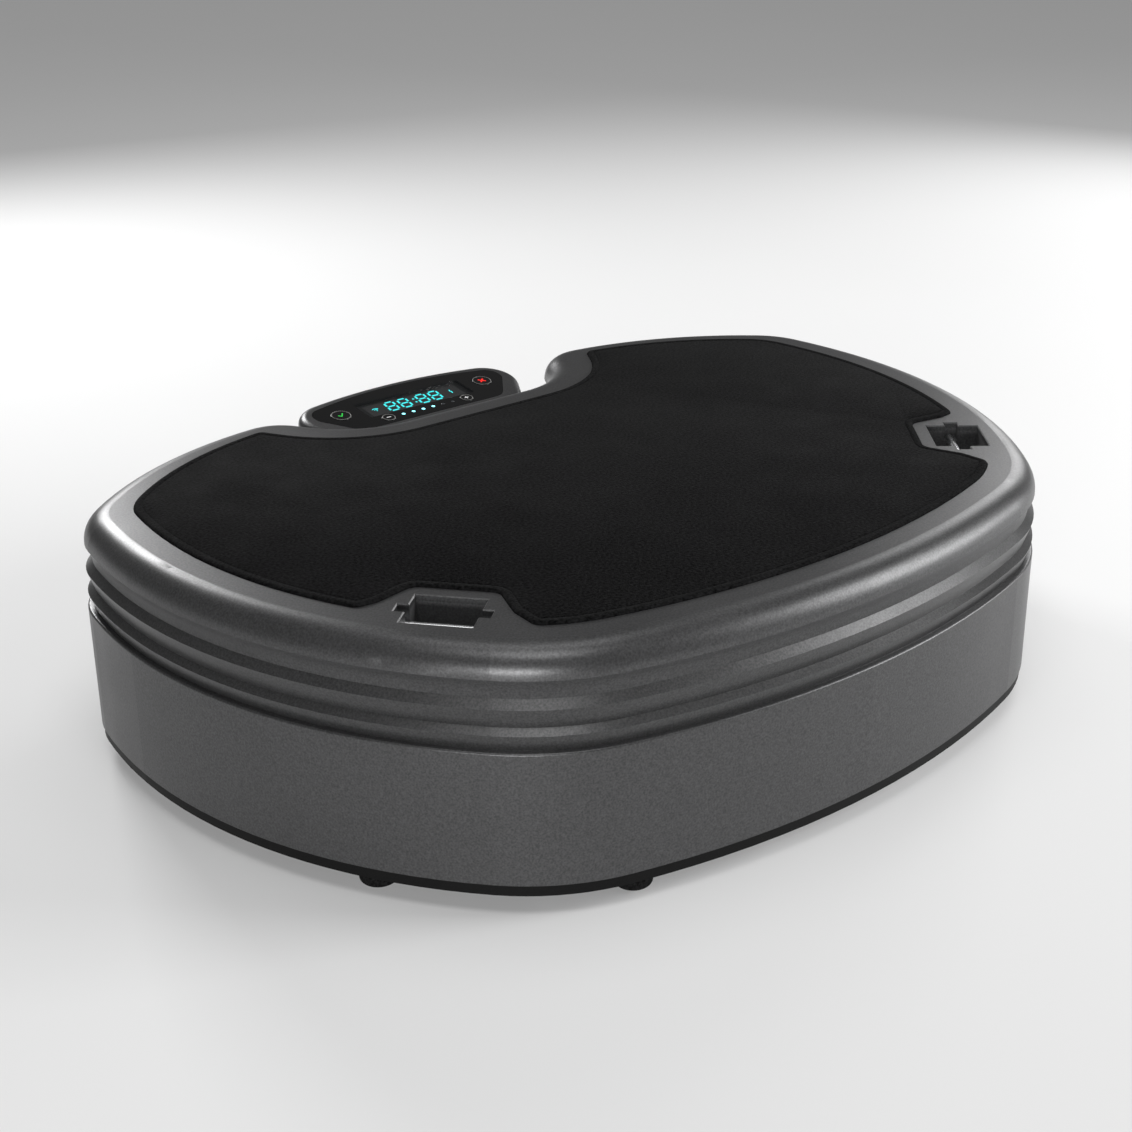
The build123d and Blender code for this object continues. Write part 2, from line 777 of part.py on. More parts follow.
waist = 4.0
with BuildPart() as isolators:
    for x, y in isolator_places:
        with BuildSketch(Plane.XZ.offset(-y)):
            with BuildLine():
                middle = (isolator_bottom_z + isolator_top_z) / 2
                edge = ThreePointArc(
                    (x + isolator_diameter / 2, isolator_bottom_z),
                    (x + isolator_diameter / 2 - waist, middle),
                    (x + isolator_diameter / 2, isolator_top_z),
                )
                Polyline(edge @ 1, (x, isolator_top_z), (x, isolator_bottom_z), edge @ 0)
            make_face()
        revolve(axis=Axis((x, y, 0), (0, 0, 1)))
    for z in (isolator_bottom_z, isolator_top_z):
        with Locations([(x, y, z) for x, y in isolator_places]):
            Cylinder(bolt_diameter / 2 + seat, 2 * (bolt_depth + slip), mode=Mode.SUBTRACT)
save(isolators.part, "isolators")


def isolator_bolts(face_z, plate_stack, up):
    """Hexagon bolts through a plate stack into the isolators; `up` is +1 where they point up."""
    with BuildPart() as bolts:
        with BuildSketch(Plane.XY.offset(face_z)):
            with Locations(isolator_places):
                RegularPolygon(bolt_head, 6)
        extrude(amount=-up * bolt_head_height)
        with BuildSketch(Plane.XY.offset(face_z)):
            with Locations(isolator_places):
                Circle(bolt_diameter / 2)
        extrude(amount=up * (plate_stack + bolt_depth))
    return bolts.part


save(isolator_bolts(rail_top_z - rail_wall, rail_wall + end_plate, 1), "isolator_lower_bolts")
save(isolator_bolts(leg_bottom_z + leg_wall, end_plate + leg_wall, -1), "isolator_upper_bolts")

with BuildPart() as deck_legs:
    with BuildSketch(Plane.XY.offset(leg_bottom_z)):
        with Locations(isolator_places):
            RectangleRounded(leg_size, leg_size, 5)
    extrude(amount=plate_bottom_z - leg_bottom_z)
    with BuildSketch(Plane.XY.offset(leg_bottom_z + leg_wall)):
        with Locations(isolator_places):
            RectangleRounded(leg_size - 2 * leg_wall, leg_size - 2 * leg_wall, 5 - leg_wall)
    extrude(amount=plate_bottom_z - leg_bottom_z, mode=Mode.SUBTRACT)
    with Locations([(x, y, leg_bottom_z) for x, y in isolator_places]):
        Cylinder(bolt_diameter / 2 + seat, 3 * leg_wall, mode=Mode.SUBTRACT)
save(deck_legs.part, "deck_legs")

stiffener_height = 25.0
stiffener_wall = 3.0
stiffener_leg_gap = 2.0
stiffener_half_length = isolator_places_right[0][0] - leg_size / 2 - stiffener_leg_gap
stiffener_places = ((front_stiffener_y, -1), (rear_stiffener_y, 1))

with BuildPart() as deck_stiffeners:
    for y, away in stiffener_places:
        with BuildSketch(Plane.YZ.offset(-stiffener_half_length)):
            with Locations((y, plate_bottom_z)):
                Rectangle(stiffener_wall, stiffener_height, align=(Align.CENTER, Align.MAX))
            with Locations((y + away * (stiffener_flange - stiffener_wall) / 2, plate_bottom_z)):
                Rectangle(stiffener_flange, stiffener_wall, align=(Align.CENTER, Align.MAX))
        extrude(amount=2 * stiffener_half_length)
save(deck_stiffeners.part, "deck_stiffeners")


# ---------------------------------------------------------------- motors
end_wall = 10.0
bearing_lip = 2.0
air_gap = 0.6
core_diameter = motor_diameter - 38
core_length = 76.0
saddle_width = motor_diameter + 28
saddle_length = 100.0
strap_width = 16.0
strap_thickness = 3.0
strap_spacing = 66.0
clamp_screw = 5.0
clamp_screw_x = motor_diameter / 2 + 8.5
clamp_hole_depth = 16.0
clamp_reach = 15.0
cap_screw = 3.0
cap_hole_depth = 12.0
shaft_hole = 15.0
hub_diameter = 26.0

motor_start_y = motor_y - motor_length / 2
motor_end_y = motor_y + motor_length / 2
housing_length = motor_length - end_wall
along_y = Plane(origin=(motor_x, 0, motor_z), x_dir=(1, 0, 0), z_dir=(0, 1, 0))
# on this plane a sketch's Y axis points down
cap_screw_radius = motor_diameter / 2 - motor_wall / 2


def motor_plane(y):
    """Plane square to the right-hand motor's axis, at the given y."""
    return along_y.offset(y)


with BuildPart() as motor_housing:
    with BuildSketch(motor_plane(motor_start_y)):
        Circle(motor_diameter / 2)
    extrude(amount=housing_length)
    with BuildSketch(motor_plane(motor_start_y + end_wall)):
        Circle(motor_diameter / 2 - motor_wall)
    extrude(amount=housing_length, mode=Mode.SUBTRACT)
    with BuildSketch(motor_plane(motor_start_y + bearing_lip)):
        Circle(bearing_diameter / 2 + seat)
    extrude(amount=end_wall, mode=Mode.SUBTRACT)
    with BuildSketch(motor_plane(motor_start_y - 1)):
        Circle(shaft_hole / 2)
    extrude(amount=end_wall, mode=Mode.SUBTRACT)
    with BuildSketch(motor_plane(motor_end_y - end_wall - cap_hole_depth)):
        with PolarLocations(cap_screw_radius, 4, start_angle=45):
            Circle(cap_screw / 2 + seat)
    extrude(amount=2 * cap_hole_depth, mode=Mode.SUBTRACT)
save_pair(motor_housing.part, "motor_housing")

with BuildPart() as motor_cap:
    with BuildSketch(motor_plane(motor_end_y - end_wall)):
        Circle(motor_diameter / 2)
        Circle(shaft_hole / 2, mode=Mode.SUBTRACT)
        with PolarLocations(cap_screw_radius, 4, start_angle=45):
            Circle(cap_screw / 2 + seat, mode=Mode.SUBTRACT)
    extrude(amount=end_wall)
    with BuildSketch(motor_plane(motor_end_y - end_wall)):
        Circle(bearing_diameter / 2 + seat)
    extrude(amount=bearing_width, mode=Mode.SUBTRACT)
save_both(motor_cap.part, "motor_caps")

with BuildPart() as motor_cap_screws:
    with BuildSketch(motor_plane(motor_end_y)):
        with PolarLocations(cap_screw_radius, 4, start_angle=45):
            Circle(cap_screw * 0.9)
    extrude(amount=2)
    with BuildSketch(motor_plane(motor_end_y)):
        with PolarLocations(cap_screw_radius, 4, start_angle=45):
            Circle(cap_screw / 2)
    extrude(amount=2 - end_wall - cap_hole_depth)
save_both(motor_cap_screws.part, "motor_cap_screws")

with BuildPart() as motor_bearings:
    for y in (motor_start_y + bearing_lip, motor_end_y - end_wall):
        with BuildSketch(motor_plane(y)):
            Circle(bearing_diameter / 2)
            Circle(shaft_diameter / 2 + running, mode=Mode.SUBTRACT)
        extrude(amount=bearing_width)
save_both(motor_bearings.part, "motor_bearings")

with BuildPart() as stator:
    with BuildSketch(motor_plane(motor_y - core_length / 2)):
        Circle(motor_diameter / 2 - motor_wall - seat)
        Circle(core_diameter / 2 + air_gap, mode=Mode.SUBTRACT)
    extrude(amount=core_length)
save_both(stator.part, "stators")

with BuildPart() as rotor_core:
    with BuildSketch(motor_plane(motor_y - core_length / 2)):
        Circle(core_diameter / 2)
        Circle(shaft_diameter / 2 + seat, mode=Mode.SUBTRACT)
    extrude(amount=core_length)
save_pair(rotor_core.part, "rotor_core")

shaft_stub = 3.0
with BuildPart() as rotor_shaft:
    with BuildSketch(motor_plane(motor_y - weight_reach - shaft_stub)):
        Circle(shaft_diameter / 2)
    extrude(amount=2 * (weight_reach + shaft_stub))
    chamfer(rotor_shaft.edges().filter_by(GeomType.CIRCLE), length=0.8)
save_pair(rotor_shaft.part, "rotor_shaft")

with BuildPart() as eccentric_weights:
    for y in (motor_y - weight_reach, motor_end_y + motor_end_gap):
        with BuildSketch(motor_plane(y)):
            Circle(weight_radius)
            Rectangle(
                3 * weight_radius,
                2 * weight_radius,
                align=(Align.CENTER, Align.MAX),
                mode=Mode.SUBTRACT,
            )
            Circle(hub_diameter / 2)
            Circle(shaft_diameter / 2 + seat, mode=Mode.SUBTRACT)
        extrude(amount=weight_thickness)
save_pair(eccentric_weights.part, "eccentric_weights")

with BuildPart() as motor_saddle:
    with BuildSketch(motor_plane(motor_y - saddle_length / 2)):
        Rectangle(saddle_width, plate_bottom_z - motor_z, align=(Align.CENTER, Align.MAX))
        Circle(motor_diameter / 2 + seat, mode=Mode.SUBTRACT)
    extrude(amount=saddle_length)
    with Locations(Location((motor_x, motor_y, motor_z))):
        with GridLocations(2 * clamp_screw_x, strap_spacing, 2, 2):
            Cylinder(clamp_screw / 2 + seat, 2 * clamp_hole_depth, mode=Mode.SUBTRACT)
save_both(motor_saddle.part, "motor_saddles")

with BuildPart() as motor_straps:
    for y in (motor_y - strap_spacing / 2, motor_y + strap_spacing / 2):
        with BuildSketch(motor_plane(y - strap_width / 2)):
            Circle(motor_diameter / 2 + seat + strap_thickness)
            Rectangle(saddle_width, strap_thickness, align=(Align.CENTER, Align.MIN))
            Circle(motor_diameter / 2 + seat, mode=Mode.SUBTRACT)
            Rectangle(2 * saddle_width, saddle_width, align=(Align.CENTER, Align.MAX), mode=Mode.SUBTRACT)
        extrude(amount=strap_width)
    with Locations(Location((motor_x, motor_y, motor_z))):
        with GridLocations(2 * clamp_screw_x, strap_spacing, 2, 2):
            Cylinder(clamp_screw / 2 + seat, 2 * clamp_hole_depth, mode=Mode.SUBTRACT)
save_both(motor_straps.part, "motor_straps")

clamp_head_height = 4.0
with BuildPart() as clamp_screws:
    with Locations(Location((motor_x, motor_y, motor_z - strap_thickness))):
        with GridLocations(2 * clamp_screw_x, strap_spacing, 2, 2):
            Cylinder(clamp_screw / 2, clamp_reach, align=(Align.CENTER, Align.CENTER, Align.MIN))
            Cylinder(clamp_screw * 0.85, clamp_head_height, align=(Align.CENTER, Align.CENTER, Align.MAX))
save_both(clamp_screws.part, "clamp_screws")


# ---------------------------------------------------------------- console housing
pod_inset = 2.0
pod_near_radius = 40.0
pod_wall = 3.0
pod_edge_radius = 7.0
panel_ledge = 3.0
panel_ledge_thickness = 1.5

panel_plane = Plane(
    origin=(0, console_y, panel_z),
    x_dir=(1, 0, 0),
    z_dir=(0, -sin(radians(console_tilt)), cos(radians(console_tilt))),
)


def pod_face(inset):
    """Plan of the console housing, moved in by `inset`; its sides run beside the sides of the notch."""
    with BuildSketch() as sketch:
        with BuildLine():
            rear_inset = inset + pod_inset
            near_y = console_near_y + inset
            corner_turn = 180 - notch_side_angle - crown_turn
            crown = JernArc((0, rear_y - rear_inset), (1, 0), crown_radius - rear_inset, -crown_turn)
            corner = JernArc(crown @ 1, crown % 1, bulge_corner_radius - rear_inset, -corner_turn)
            near_radius = pod_near_radius - inset
            drop = (corner @ 1).Y - near_y - near_radius * (1 - cos(radians(notch_side_angle)))
            side = PolarLine(corner @ 1, drop / sin(radians(notch_side_angle)), 180 + notch_side_angle)
            near = JernArc(side @ 1, side % 1, near_radius, -notch_side_angle)
            Line(near @ 1, (0, near_y))
            mirror(about=Plane.YZ)
        make_face()
    return sketch.sketch


panel_near_half = 68.0
panel_half = 90.0
panel_near = -28.5
panel_side_start = 2.0
panel_side_end = 17.0
panel_far = 29.5
panel_near_radius = 14.0
panel_side_radius = 12.0


def panel_face(grow):
    """Outline of the console's glossy panel, made larger by `grow`."""
    with BuildSketch() as sketch:
        with BuildLine():
            near = Line((-panel_near_half, panel_near), (panel_near_half, panel_near))
            right = Polyline(near @ 1, (panel_half, panel_side_start), (panel_half, panel_side_end))
            left = Polyline(near @ 0, (-panel_half, panel_side_start), (-panel_half, panel_side_end))
            ThreePointArc(right @ 1, (0, panel_far), left @ 1)
        make_face()
        near_corners = sketch.vertices().group_by(Axis.Y)[0]
        fillet(near_corners, radius=panel_near_radius)
        sides = sketch.vertices().filter_by_position(Axis.Y, panel_side_start - 1, panel_side_end + 1)
        fillet(sides, radius=panel_side_radius)
        if grow:
            offset(amount=grow)
    return sketch.sketch


pod_post_diameter = 9.0
pod_post_height = 16.0
pod_screw_reach = 12.0
pod_floor_z = skirt_top_z + pod_wall

with BuildPart() as pod_hollow:
    with BuildSketch(Plane.XY.offset(pod_floor_z)):
        add(pod_face(pod_wall))
    extrude(amount=overall_height)
    split(bisect_by=panel_plane.offset(-panel_thickness - panel_ledge_thickness), keep=Keep.BOTTOM)

with BuildPart() as console_housing:
    with BuildSketch(Plane.XY.offset(skirt_top_z)):
        add(pod_face(0))
    extrude(amount=overall_height)
    split(bisect_by=panel_plane, keep=Keep.BOTTOM)
    fillet(console_housing.faces().sort_by(Axis.Z)[-1].edges(), radius=pod_edge_radius)
    add(pod_hollow.part, mode=Mode.SUBTRACT)
    with BuildSketch(panel_plane.offset(-panel_thickness)):
        add(panel_face(slip))
    extrude(amount=2 * panel_thickness, mode=Mode.SUBTRACT)
    with BuildSketch(panel_plane.offset(-3 * panel_thickness)):
        add(panel_face(-panel_ledge))
    extrude(amount=4 * panel_thickness, mode=Mode.SUBTRACT)
    with BuildSketch(Plane.XY.offset(pod_floor_z)):
        with Locations(pod_post_places):
            Circle(pod_post_diameter / 2)
    extrude(amount=pod_post_height)
    with Locations([(x, y, skirt_top_z) for x, y in pod_post_places]):
        Cylinder(pod_screw / 2, 2 * (pod_screw_reach + pod_wall), mode=Mode.SUBTRACT)
    with BuildSketch(Plane.XY.offset(skirt_top_z)):
        with Locations((0, console_y)):
            RectangleRounded(2 * harness_hole, harness_hole, harness_corner)
    extrude(amount=pod_wall, mode=Mode.SUBTRACT)
save(console_housing.part, "console_housing")

with BuildPart() as console_screws:
    with Locations([(x, y, skirt_top_z - shell_wall) for x, y in pod_post_places]):
        Cylinder(pod_screw, screw_head_height, align=(Align.CENTER, Align.CENTER, Align.MAX))
        Cylinder(
            pod_screw / 2 - seat,
            shell_wall + pod_screw_reach,
            align=(Align.CENTER, Align.CENTER, Align.MIN),
        )
save(console_screws.part, "console_screws")


# ---------------------------------------------------------------- console panel, keys and display
# places on the panel: across it, and up its slope from the middle
large_key_places = {"start_key": (-69, 2), "stop_key": (69, 2)}
small_key_places = {"minus_key": (-38, -19), "plus_key": (38, -19)}
keys = {name: (place, large_key) for name, place in large_key_places.items()}
keys.update({name: (place, small_key) for name, place in small_key_places.items()})

window_place = (0, 0.5)
window_width = 101.0
window_height = 26.0
window_corner = 1.5
window_thickness = 1.6
module_margin = 1.0
led_count = 6
led_spacing = 9.6
led_diameter = 3.0
led_place = (0, -19.0)
led_recess = 0.2
board_depth = 10.4          # from the panel's face to the board
board_thickness = 1.6
console_board_size = (150.0, 43.0)
console_board_place = (0, -1.5)
console_board_corner = 14.0
panel_post_places = both_sides([(58, -12), (58, 17)])
panel_post_diameter = 5.5
key_proud = 0.3
key_cap = 2.6
key_edge_radius = 0.4
stem_diameter = 5.0
stem_gap = 0.1              # between a pressed key's stem and its switch
switch_height = 2.4
switch_size = 6.0
board_plane = panel_plane.offset(-board_depth)

with BuildPart() as console_panel:
    with BuildSketch(panel_plane.offset(-panel_thickness)):
        add(panel_face(0))
        for place, diameter in keys.values():
            with Locations(place):
                Circle(diameter / 2 + slip, mode=Mode.SUBTRACT)
        with Locations(window_place):
            RectangleRounded(window_width + seat, window_height + seat, window_corner, mode=Mode.SUBTRACT)
        with Locations(led_place):
            with GridLocations(led_spacing, 0, led_count, 1):
                Circle(led_diameter / 2 + seat, mode=Mode.SUBTRACT)
    extrude(amount=panel_thickness)
    with BuildSketch(board_plane):
        with Locations(panel_post_places):
            Circle(panel_post_diameter / 2)
            Circle(board_screw / 2, mode=Mode.SUBTRACT)
    extrude(amount=board_depth - panel_thickness)
save(console_panel.part, "console_panel")

with BuildPart() as display_window:
    with BuildSketch(panel_plane.offset(-window_thickness)):
        with Locations(window_place):
            RectangleRounded(window_width, window_height, window_corner)
    extrude(amount=window_thickness)
save(display_window.part, "display_window")

with BuildPart() as display_module:
    with BuildSketch(board_plane):
        with Locations(window_place):
            Rectangle(window_width + module_margin, window_height + module_margin)
    extrude(amount=board_depth - panel_thickness)
save(display_module.part, "display_module")

with BuildPart() as level_leds:
    with BuildSketch(board_plane):
        with Locations(led_place):
            with GridLocations(led_spacing, 0, led_count, 1):
                Circle(led_diameter / 2)
    extrude(amount=board_depth - led_recess)
save(level_leds.part, "level_leds")

with BuildPart() as console_board:
    with BuildSketch(board_plane.offset(-board_thickness)):
        with Locations(console_board_place):
            RectangleRounded(*console_board_size, console_board_corner)
        with Locations(panel_post_places):
            Circle(board_screw / 2 + seat, mode=Mode.SUBTRACT)
    extrude(amount=board_thickness)
save(console_board.part, "console_board")

with BuildPart() as key_switches:
    with BuildSketch(board_plane):
        for place, _ in keys.values():
            with Locations(place):
                Rectangle(switch_size, switch_size)
    extrude(amount=switch_height)
save(key_switches.part, "key_switches")

for name, (place, diameter) in keys.items():
    with BuildPart() as key:
        with BuildSketch(panel_plane.offset(key_proud)):
            with Locations(place):
                Circle(diameter / 2)
        extrude(amount=-key_cap)
        fillet(key.faces().sort_by(Axis.Z)[-1].edges(), radius=key_edge_radius)
        with BuildSketch(board_plane.offset(switch_height + key_travel + stem_gap)):
            with Locations(place):
                Circle(stem_diameter / 2)
        extrude(amount=board_depth - switch_height - key_travel - stem_gap)
    save(key.part, name)


# ---------------------------------------------------------------- electronics on the base pan
electronics_z = floor_z + pan_rib_height
supply_clearance = 15.4     # under the straps round the motors
supply_height = motor_z - motor_diameter / 2 - strap_thickness - supply_clearance - electronics_z
supply_size = (150.0, 92.0, supply_height)
supply_corner = 3.0
vent_count = 12
vent_spacing = 10.0
vent_width = 3.0
vent_depth = 3.0
fin_count = 9
fin_height = 14.0
fin_thickness = 2.0
sink_base = 5.0
sink_size = (60.0, 70.0)
drive_board_z = floor_z + board_boss_height

with BuildPart() as power_supply:
    with Locations((-electronics_x, electronics_y, electronics_z)):
        Box(*supply_size, align=(Align.CENTER, Align.CENTER, Align.MIN))
    fillet(power_supply.edges().filter_by(Axis.Z), radius=supply_corner)
    with Locations((-electronics_x, electronics_y, electronics_z + supply_size[2])):
        with GridLocations(vent_spacing, 0, vent_count, 1):
            Box(vent_width, 0.6 * supply_size[1], 2 * vent_depth, mode=Mode.SUBTRACT)
save(power_supply.part, "power_supply")

with BuildPart() as drive_board:
    with BuildSketch(Plane.XY.offset(drive_board_z)):
        with Locations((electronics_x, electronics_y)):
            Rectangle(*drive_board_size)
        with Locations(drive_hole_places):
            Circle(board_screw / 2 + seat, mode=Mode.SUBTRACT)
    extrude(amount=board_thickness)
save(drive_board.part, "drive_board")

with BuildPart() as heat_sink:
    with BuildSketch(Plane.XY.offset(drive_board_z + board_thickness)):
        with Locations((electronics_x, electronics_y)):
            Rectangle(*sink_size)
    extrude(amount=sink_base)
    with BuildSketch(Plane.XY.offset(drive_board_z + board_thickness + sink_base)):
        with Locations((electronics_x, electronics_y)):
            with GridLocations((sink_size[0] - fin_thickness) / (fin_count - 1), 0, fin_count, 1):
                Rectangle(fin_thickness, sink_size[1])
    extrude(amount=fin_height)
save(heat_sink.part, "heat_sink")

# the same small screw holds the console board to the panel and the drive board to the pan
board_screw_reach = 6.0
board_screw_head = 1.8
board_screw_sites = (
    (board_plane.offset(-board_thickness), -1, panel_post_places),
    (Plane.XY.offset(drive_board_z + board_thickness), 1, drive_hole_places),
)
with BuildPart() as board_screws:
    for plane, outward, places in board_screw_sites:
        with BuildSketch(plane):
            with Locations(places):
                Circle(board_screw)
        extrude(amount=outward * board_screw_head)
        with BuildSketch(plane):
            with Locations(places):
                Circle(board_screw / 2 - seat)
        extrude(amount=-outward * board_screw_reach)
save(board_screws.part, "board_screws")


# ---------------------------------------------------------------- rear power panel
# on the power plane a sketch's X axis points left when seen from the front, right when seen from behind
power_plate_thickness = 3.0
inlet_place = (20.0, 0.0)
inlet_flange = (32.0, 26.0)
inlet_flange_height = 2.5
inlet_body = (27.5, 22.0)
inlet_depth = 24.0
inlet_socket = (24.0, 16.4)
socket_depth = 16.0
contact_size = (2.0, 4.0)
contact_reach = 11.0
contact_places = [(-7.0, -2.0), (7.0, -2.0), (0.0, 2.0)]
rocker_place = (-26.0, 0.0)
rocker_flange = (17.0, 25.0)
rocker_flange_height = 2.0
rocker_body = (14.0, 22.0)
rocker_opening = (11.6, 19.0)
rocker_depth = 16.0
rocker_width = 11.0
rocker_half_length = 8.2
rocker_root = 4.0
rocker_taper = 2.0
rocker_proud = 0.8
rocker_tilt = 8.0
rocker_pivot_depth = 2.0
rocker_pin = 2.4

with BuildPart() as power_plate:
    with BuildSketch(power_plane.offset(-power_plate_thickness)):
        RectangleRounded(power_plate_width, power_plate_height, 4)
        for place, body in ((inlet_place, inlet_body), (rocker_place, rocker_body)):
            with Locations(place):
                Rectangle(body[0] + 2 * seat, body[1] + 2 * seat, mode=Mode.SUBTRACT)
        with GridLocations(*power_screw_grid, 2, 2):
            Circle(power_screw / 2 + seat, mode=Mode.SUBTRACT)
    extrude(amount=power_plate_thickness)
save(power_plate.part, "power_plate")

with BuildPart() as power_screws:
    with BuildSketch(power_plane.offset(-power_plate_thickness)):
        with GridLocations(*power_screw_grid, 2, 2):
            Circle(power_screw * 0.9)
    extrude(amount=-screw_head_height)
    with BuildSketch(power_plane.offset(-power_plate_thickness)):
        with GridLocations(*power_screw_grid, 2, 2):
            Circle(power_screw / 2 - seat)
    extrude(amount=power_plate_thickness + power_screw_reach)
save(power_screws.part, "power_screws")

with BuildPart() as power_inlet:
    with BuildSketch(power_plane):
        with Locations(inlet_place):
            RectangleRounded(*inlet_flange, 3)
    extrude(amount=inlet_flange_height)
    with BuildSketch(power_plane.offset(inlet_flange_height)):
        with Locations(inlet_place):
            Rectangle(*inlet_body)
    extrude(amount=-inlet_depth)
    with BuildSketch(power_plane.offset(inlet_flange_height)):
        with Locations(inlet_place):
            RectangleRounded(*inlet_socket, 2)
    extrude(amount=-socket_depth, mode=Mode.SUBTRACT)
save(power_inlet.part, "power_inlet")

with BuildPart() as inlet_contacts:
    with BuildSketch(power_plane.offset(inlet_flange_height - socket_depth)):
        with Locations([(inlet_place[0] + x, inlet_place[1] + y) for x, y in contact_places]):
            Rectangle(*contact_size)
    extrude(amount=contact_reach)
save(inlet_contacts.part, "inlet_contacts")

rocker_pivot = Location((-rocker_place[0], power_wall_y - rocker_pivot_depth, power_z), (0, 90, 0))
with BuildPart() as switch_frame:
    with BuildSketch(power_plane):
        with Locations(rocker_place):
            RectangleRounded(*rocker_flange, 2)
    extrude(amount=rocker_flange_height)
    with BuildSketch(power_plane):
        with Locations(rocker_place):
            Rectangle(*rocker_body)
    extrude(amount=-rocker_depth)
    with BuildSketch(power_plane.offset(rocker_flange_height)):
        with Locations(rocker_place):
            Rectangle(*rocker_opening)
    extrude(amount=-rocker_depth, mode=Mode.SUBTRACT)
    with Locations(rocker_pivot):
        Cylinder(rocker_pin / 2 + running, rocker_body[0], mode=Mode.SUBTRACT)
save(switch_frame.part, "switch_frame")

rocker_rise = rocker_pivot_depth + rocker_flange_height + rocker_proud
rocker_dip = rocker_half_length * tan(radians(rocker_tilt))
rocker_plane = Plane(
    origin=rocker_pivot.position,
    x_dir=(0, cos(radians(rocker_tilt)), sin(radians(rocker_tilt))),
    z_dir=(1, 0, 0),
)
with BuildPart() as power_rocker:
    with BuildSketch(rocker_plane.offset(-rocker_width / 2)):
        with BuildLine():
            Polyline(
                (-rocker_root, rocker_taper - rocker_half_length),
                (rocker_rise + rocker_dip, -rocker_half_length),
                (rocker_rise, 0),
                (rocker_rise + rocker_dip, rocker_half_length),
                (-rocker_root, rocker_half_length - rocker_taper),
                close=True,
            )
        make_face()
    extrude(amount=rocker_width)
    with Locations(rocker_pivot):
        Cylinder(rocker_pin / 2, rocker_body[0] - 2 * seat)
save(power_rocker.part, "power_rocker")
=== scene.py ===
"""Looks for the vibration plate: materials, mat, bellows skin, console markings, light and camera.

Metres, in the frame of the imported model: +X right, +Y towards the console, +Z up, floor at 0.
"""

import json
from math import cos, pi, radians, sin

import bmesh
import bpy
from mathutils import Matrix, Vector


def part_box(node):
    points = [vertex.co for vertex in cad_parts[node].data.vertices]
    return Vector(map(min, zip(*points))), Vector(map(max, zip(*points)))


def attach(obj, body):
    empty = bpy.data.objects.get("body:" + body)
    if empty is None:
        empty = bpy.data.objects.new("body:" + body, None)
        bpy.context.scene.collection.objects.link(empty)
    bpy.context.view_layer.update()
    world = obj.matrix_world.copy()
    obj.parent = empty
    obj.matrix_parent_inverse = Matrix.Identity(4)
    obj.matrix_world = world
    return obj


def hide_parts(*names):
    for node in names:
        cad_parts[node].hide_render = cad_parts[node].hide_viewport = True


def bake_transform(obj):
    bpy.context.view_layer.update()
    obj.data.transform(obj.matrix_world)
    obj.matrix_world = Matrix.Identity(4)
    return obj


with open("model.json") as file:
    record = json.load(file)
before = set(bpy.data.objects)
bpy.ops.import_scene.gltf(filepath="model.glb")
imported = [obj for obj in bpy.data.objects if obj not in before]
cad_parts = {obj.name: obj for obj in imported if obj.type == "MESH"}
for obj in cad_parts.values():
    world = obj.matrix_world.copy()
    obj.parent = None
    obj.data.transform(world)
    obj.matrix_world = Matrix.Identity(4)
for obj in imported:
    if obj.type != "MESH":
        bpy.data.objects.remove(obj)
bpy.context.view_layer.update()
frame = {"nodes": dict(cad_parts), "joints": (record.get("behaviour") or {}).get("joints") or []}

MM = 0.001


# ---------------------------------------------------------------- small helpers
def mesh_object(name, bm, material, body):
    """Finish a bmesh as an object with a material, riding on a body."""
    mesh = bpy.data.meshes.new(name)
    bmesh.ops.recalc_face_normals(bm, faces=bm.faces)
    bm.to_mesh(mesh)
    bm.free()
    obj = bpy.data.objects.new(name, mesh)
    bpy.context.scene.collection.objects.link(obj)
    obj.data.materials.append(material)
    if body:
        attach(obj, body)
    return obj


def smooth(obj):
    """Shade every face of an object smooth."""
    for face in obj.data.polygons:
        face.use_smooth = True


def paint(node, material):
    """Give a CAD node one material."""
    obj = frame["nodes"][node]
    for place in obj.material_slots:
        place.material = material
    if not obj.material_slots:
        obj.data.materials.append(material)


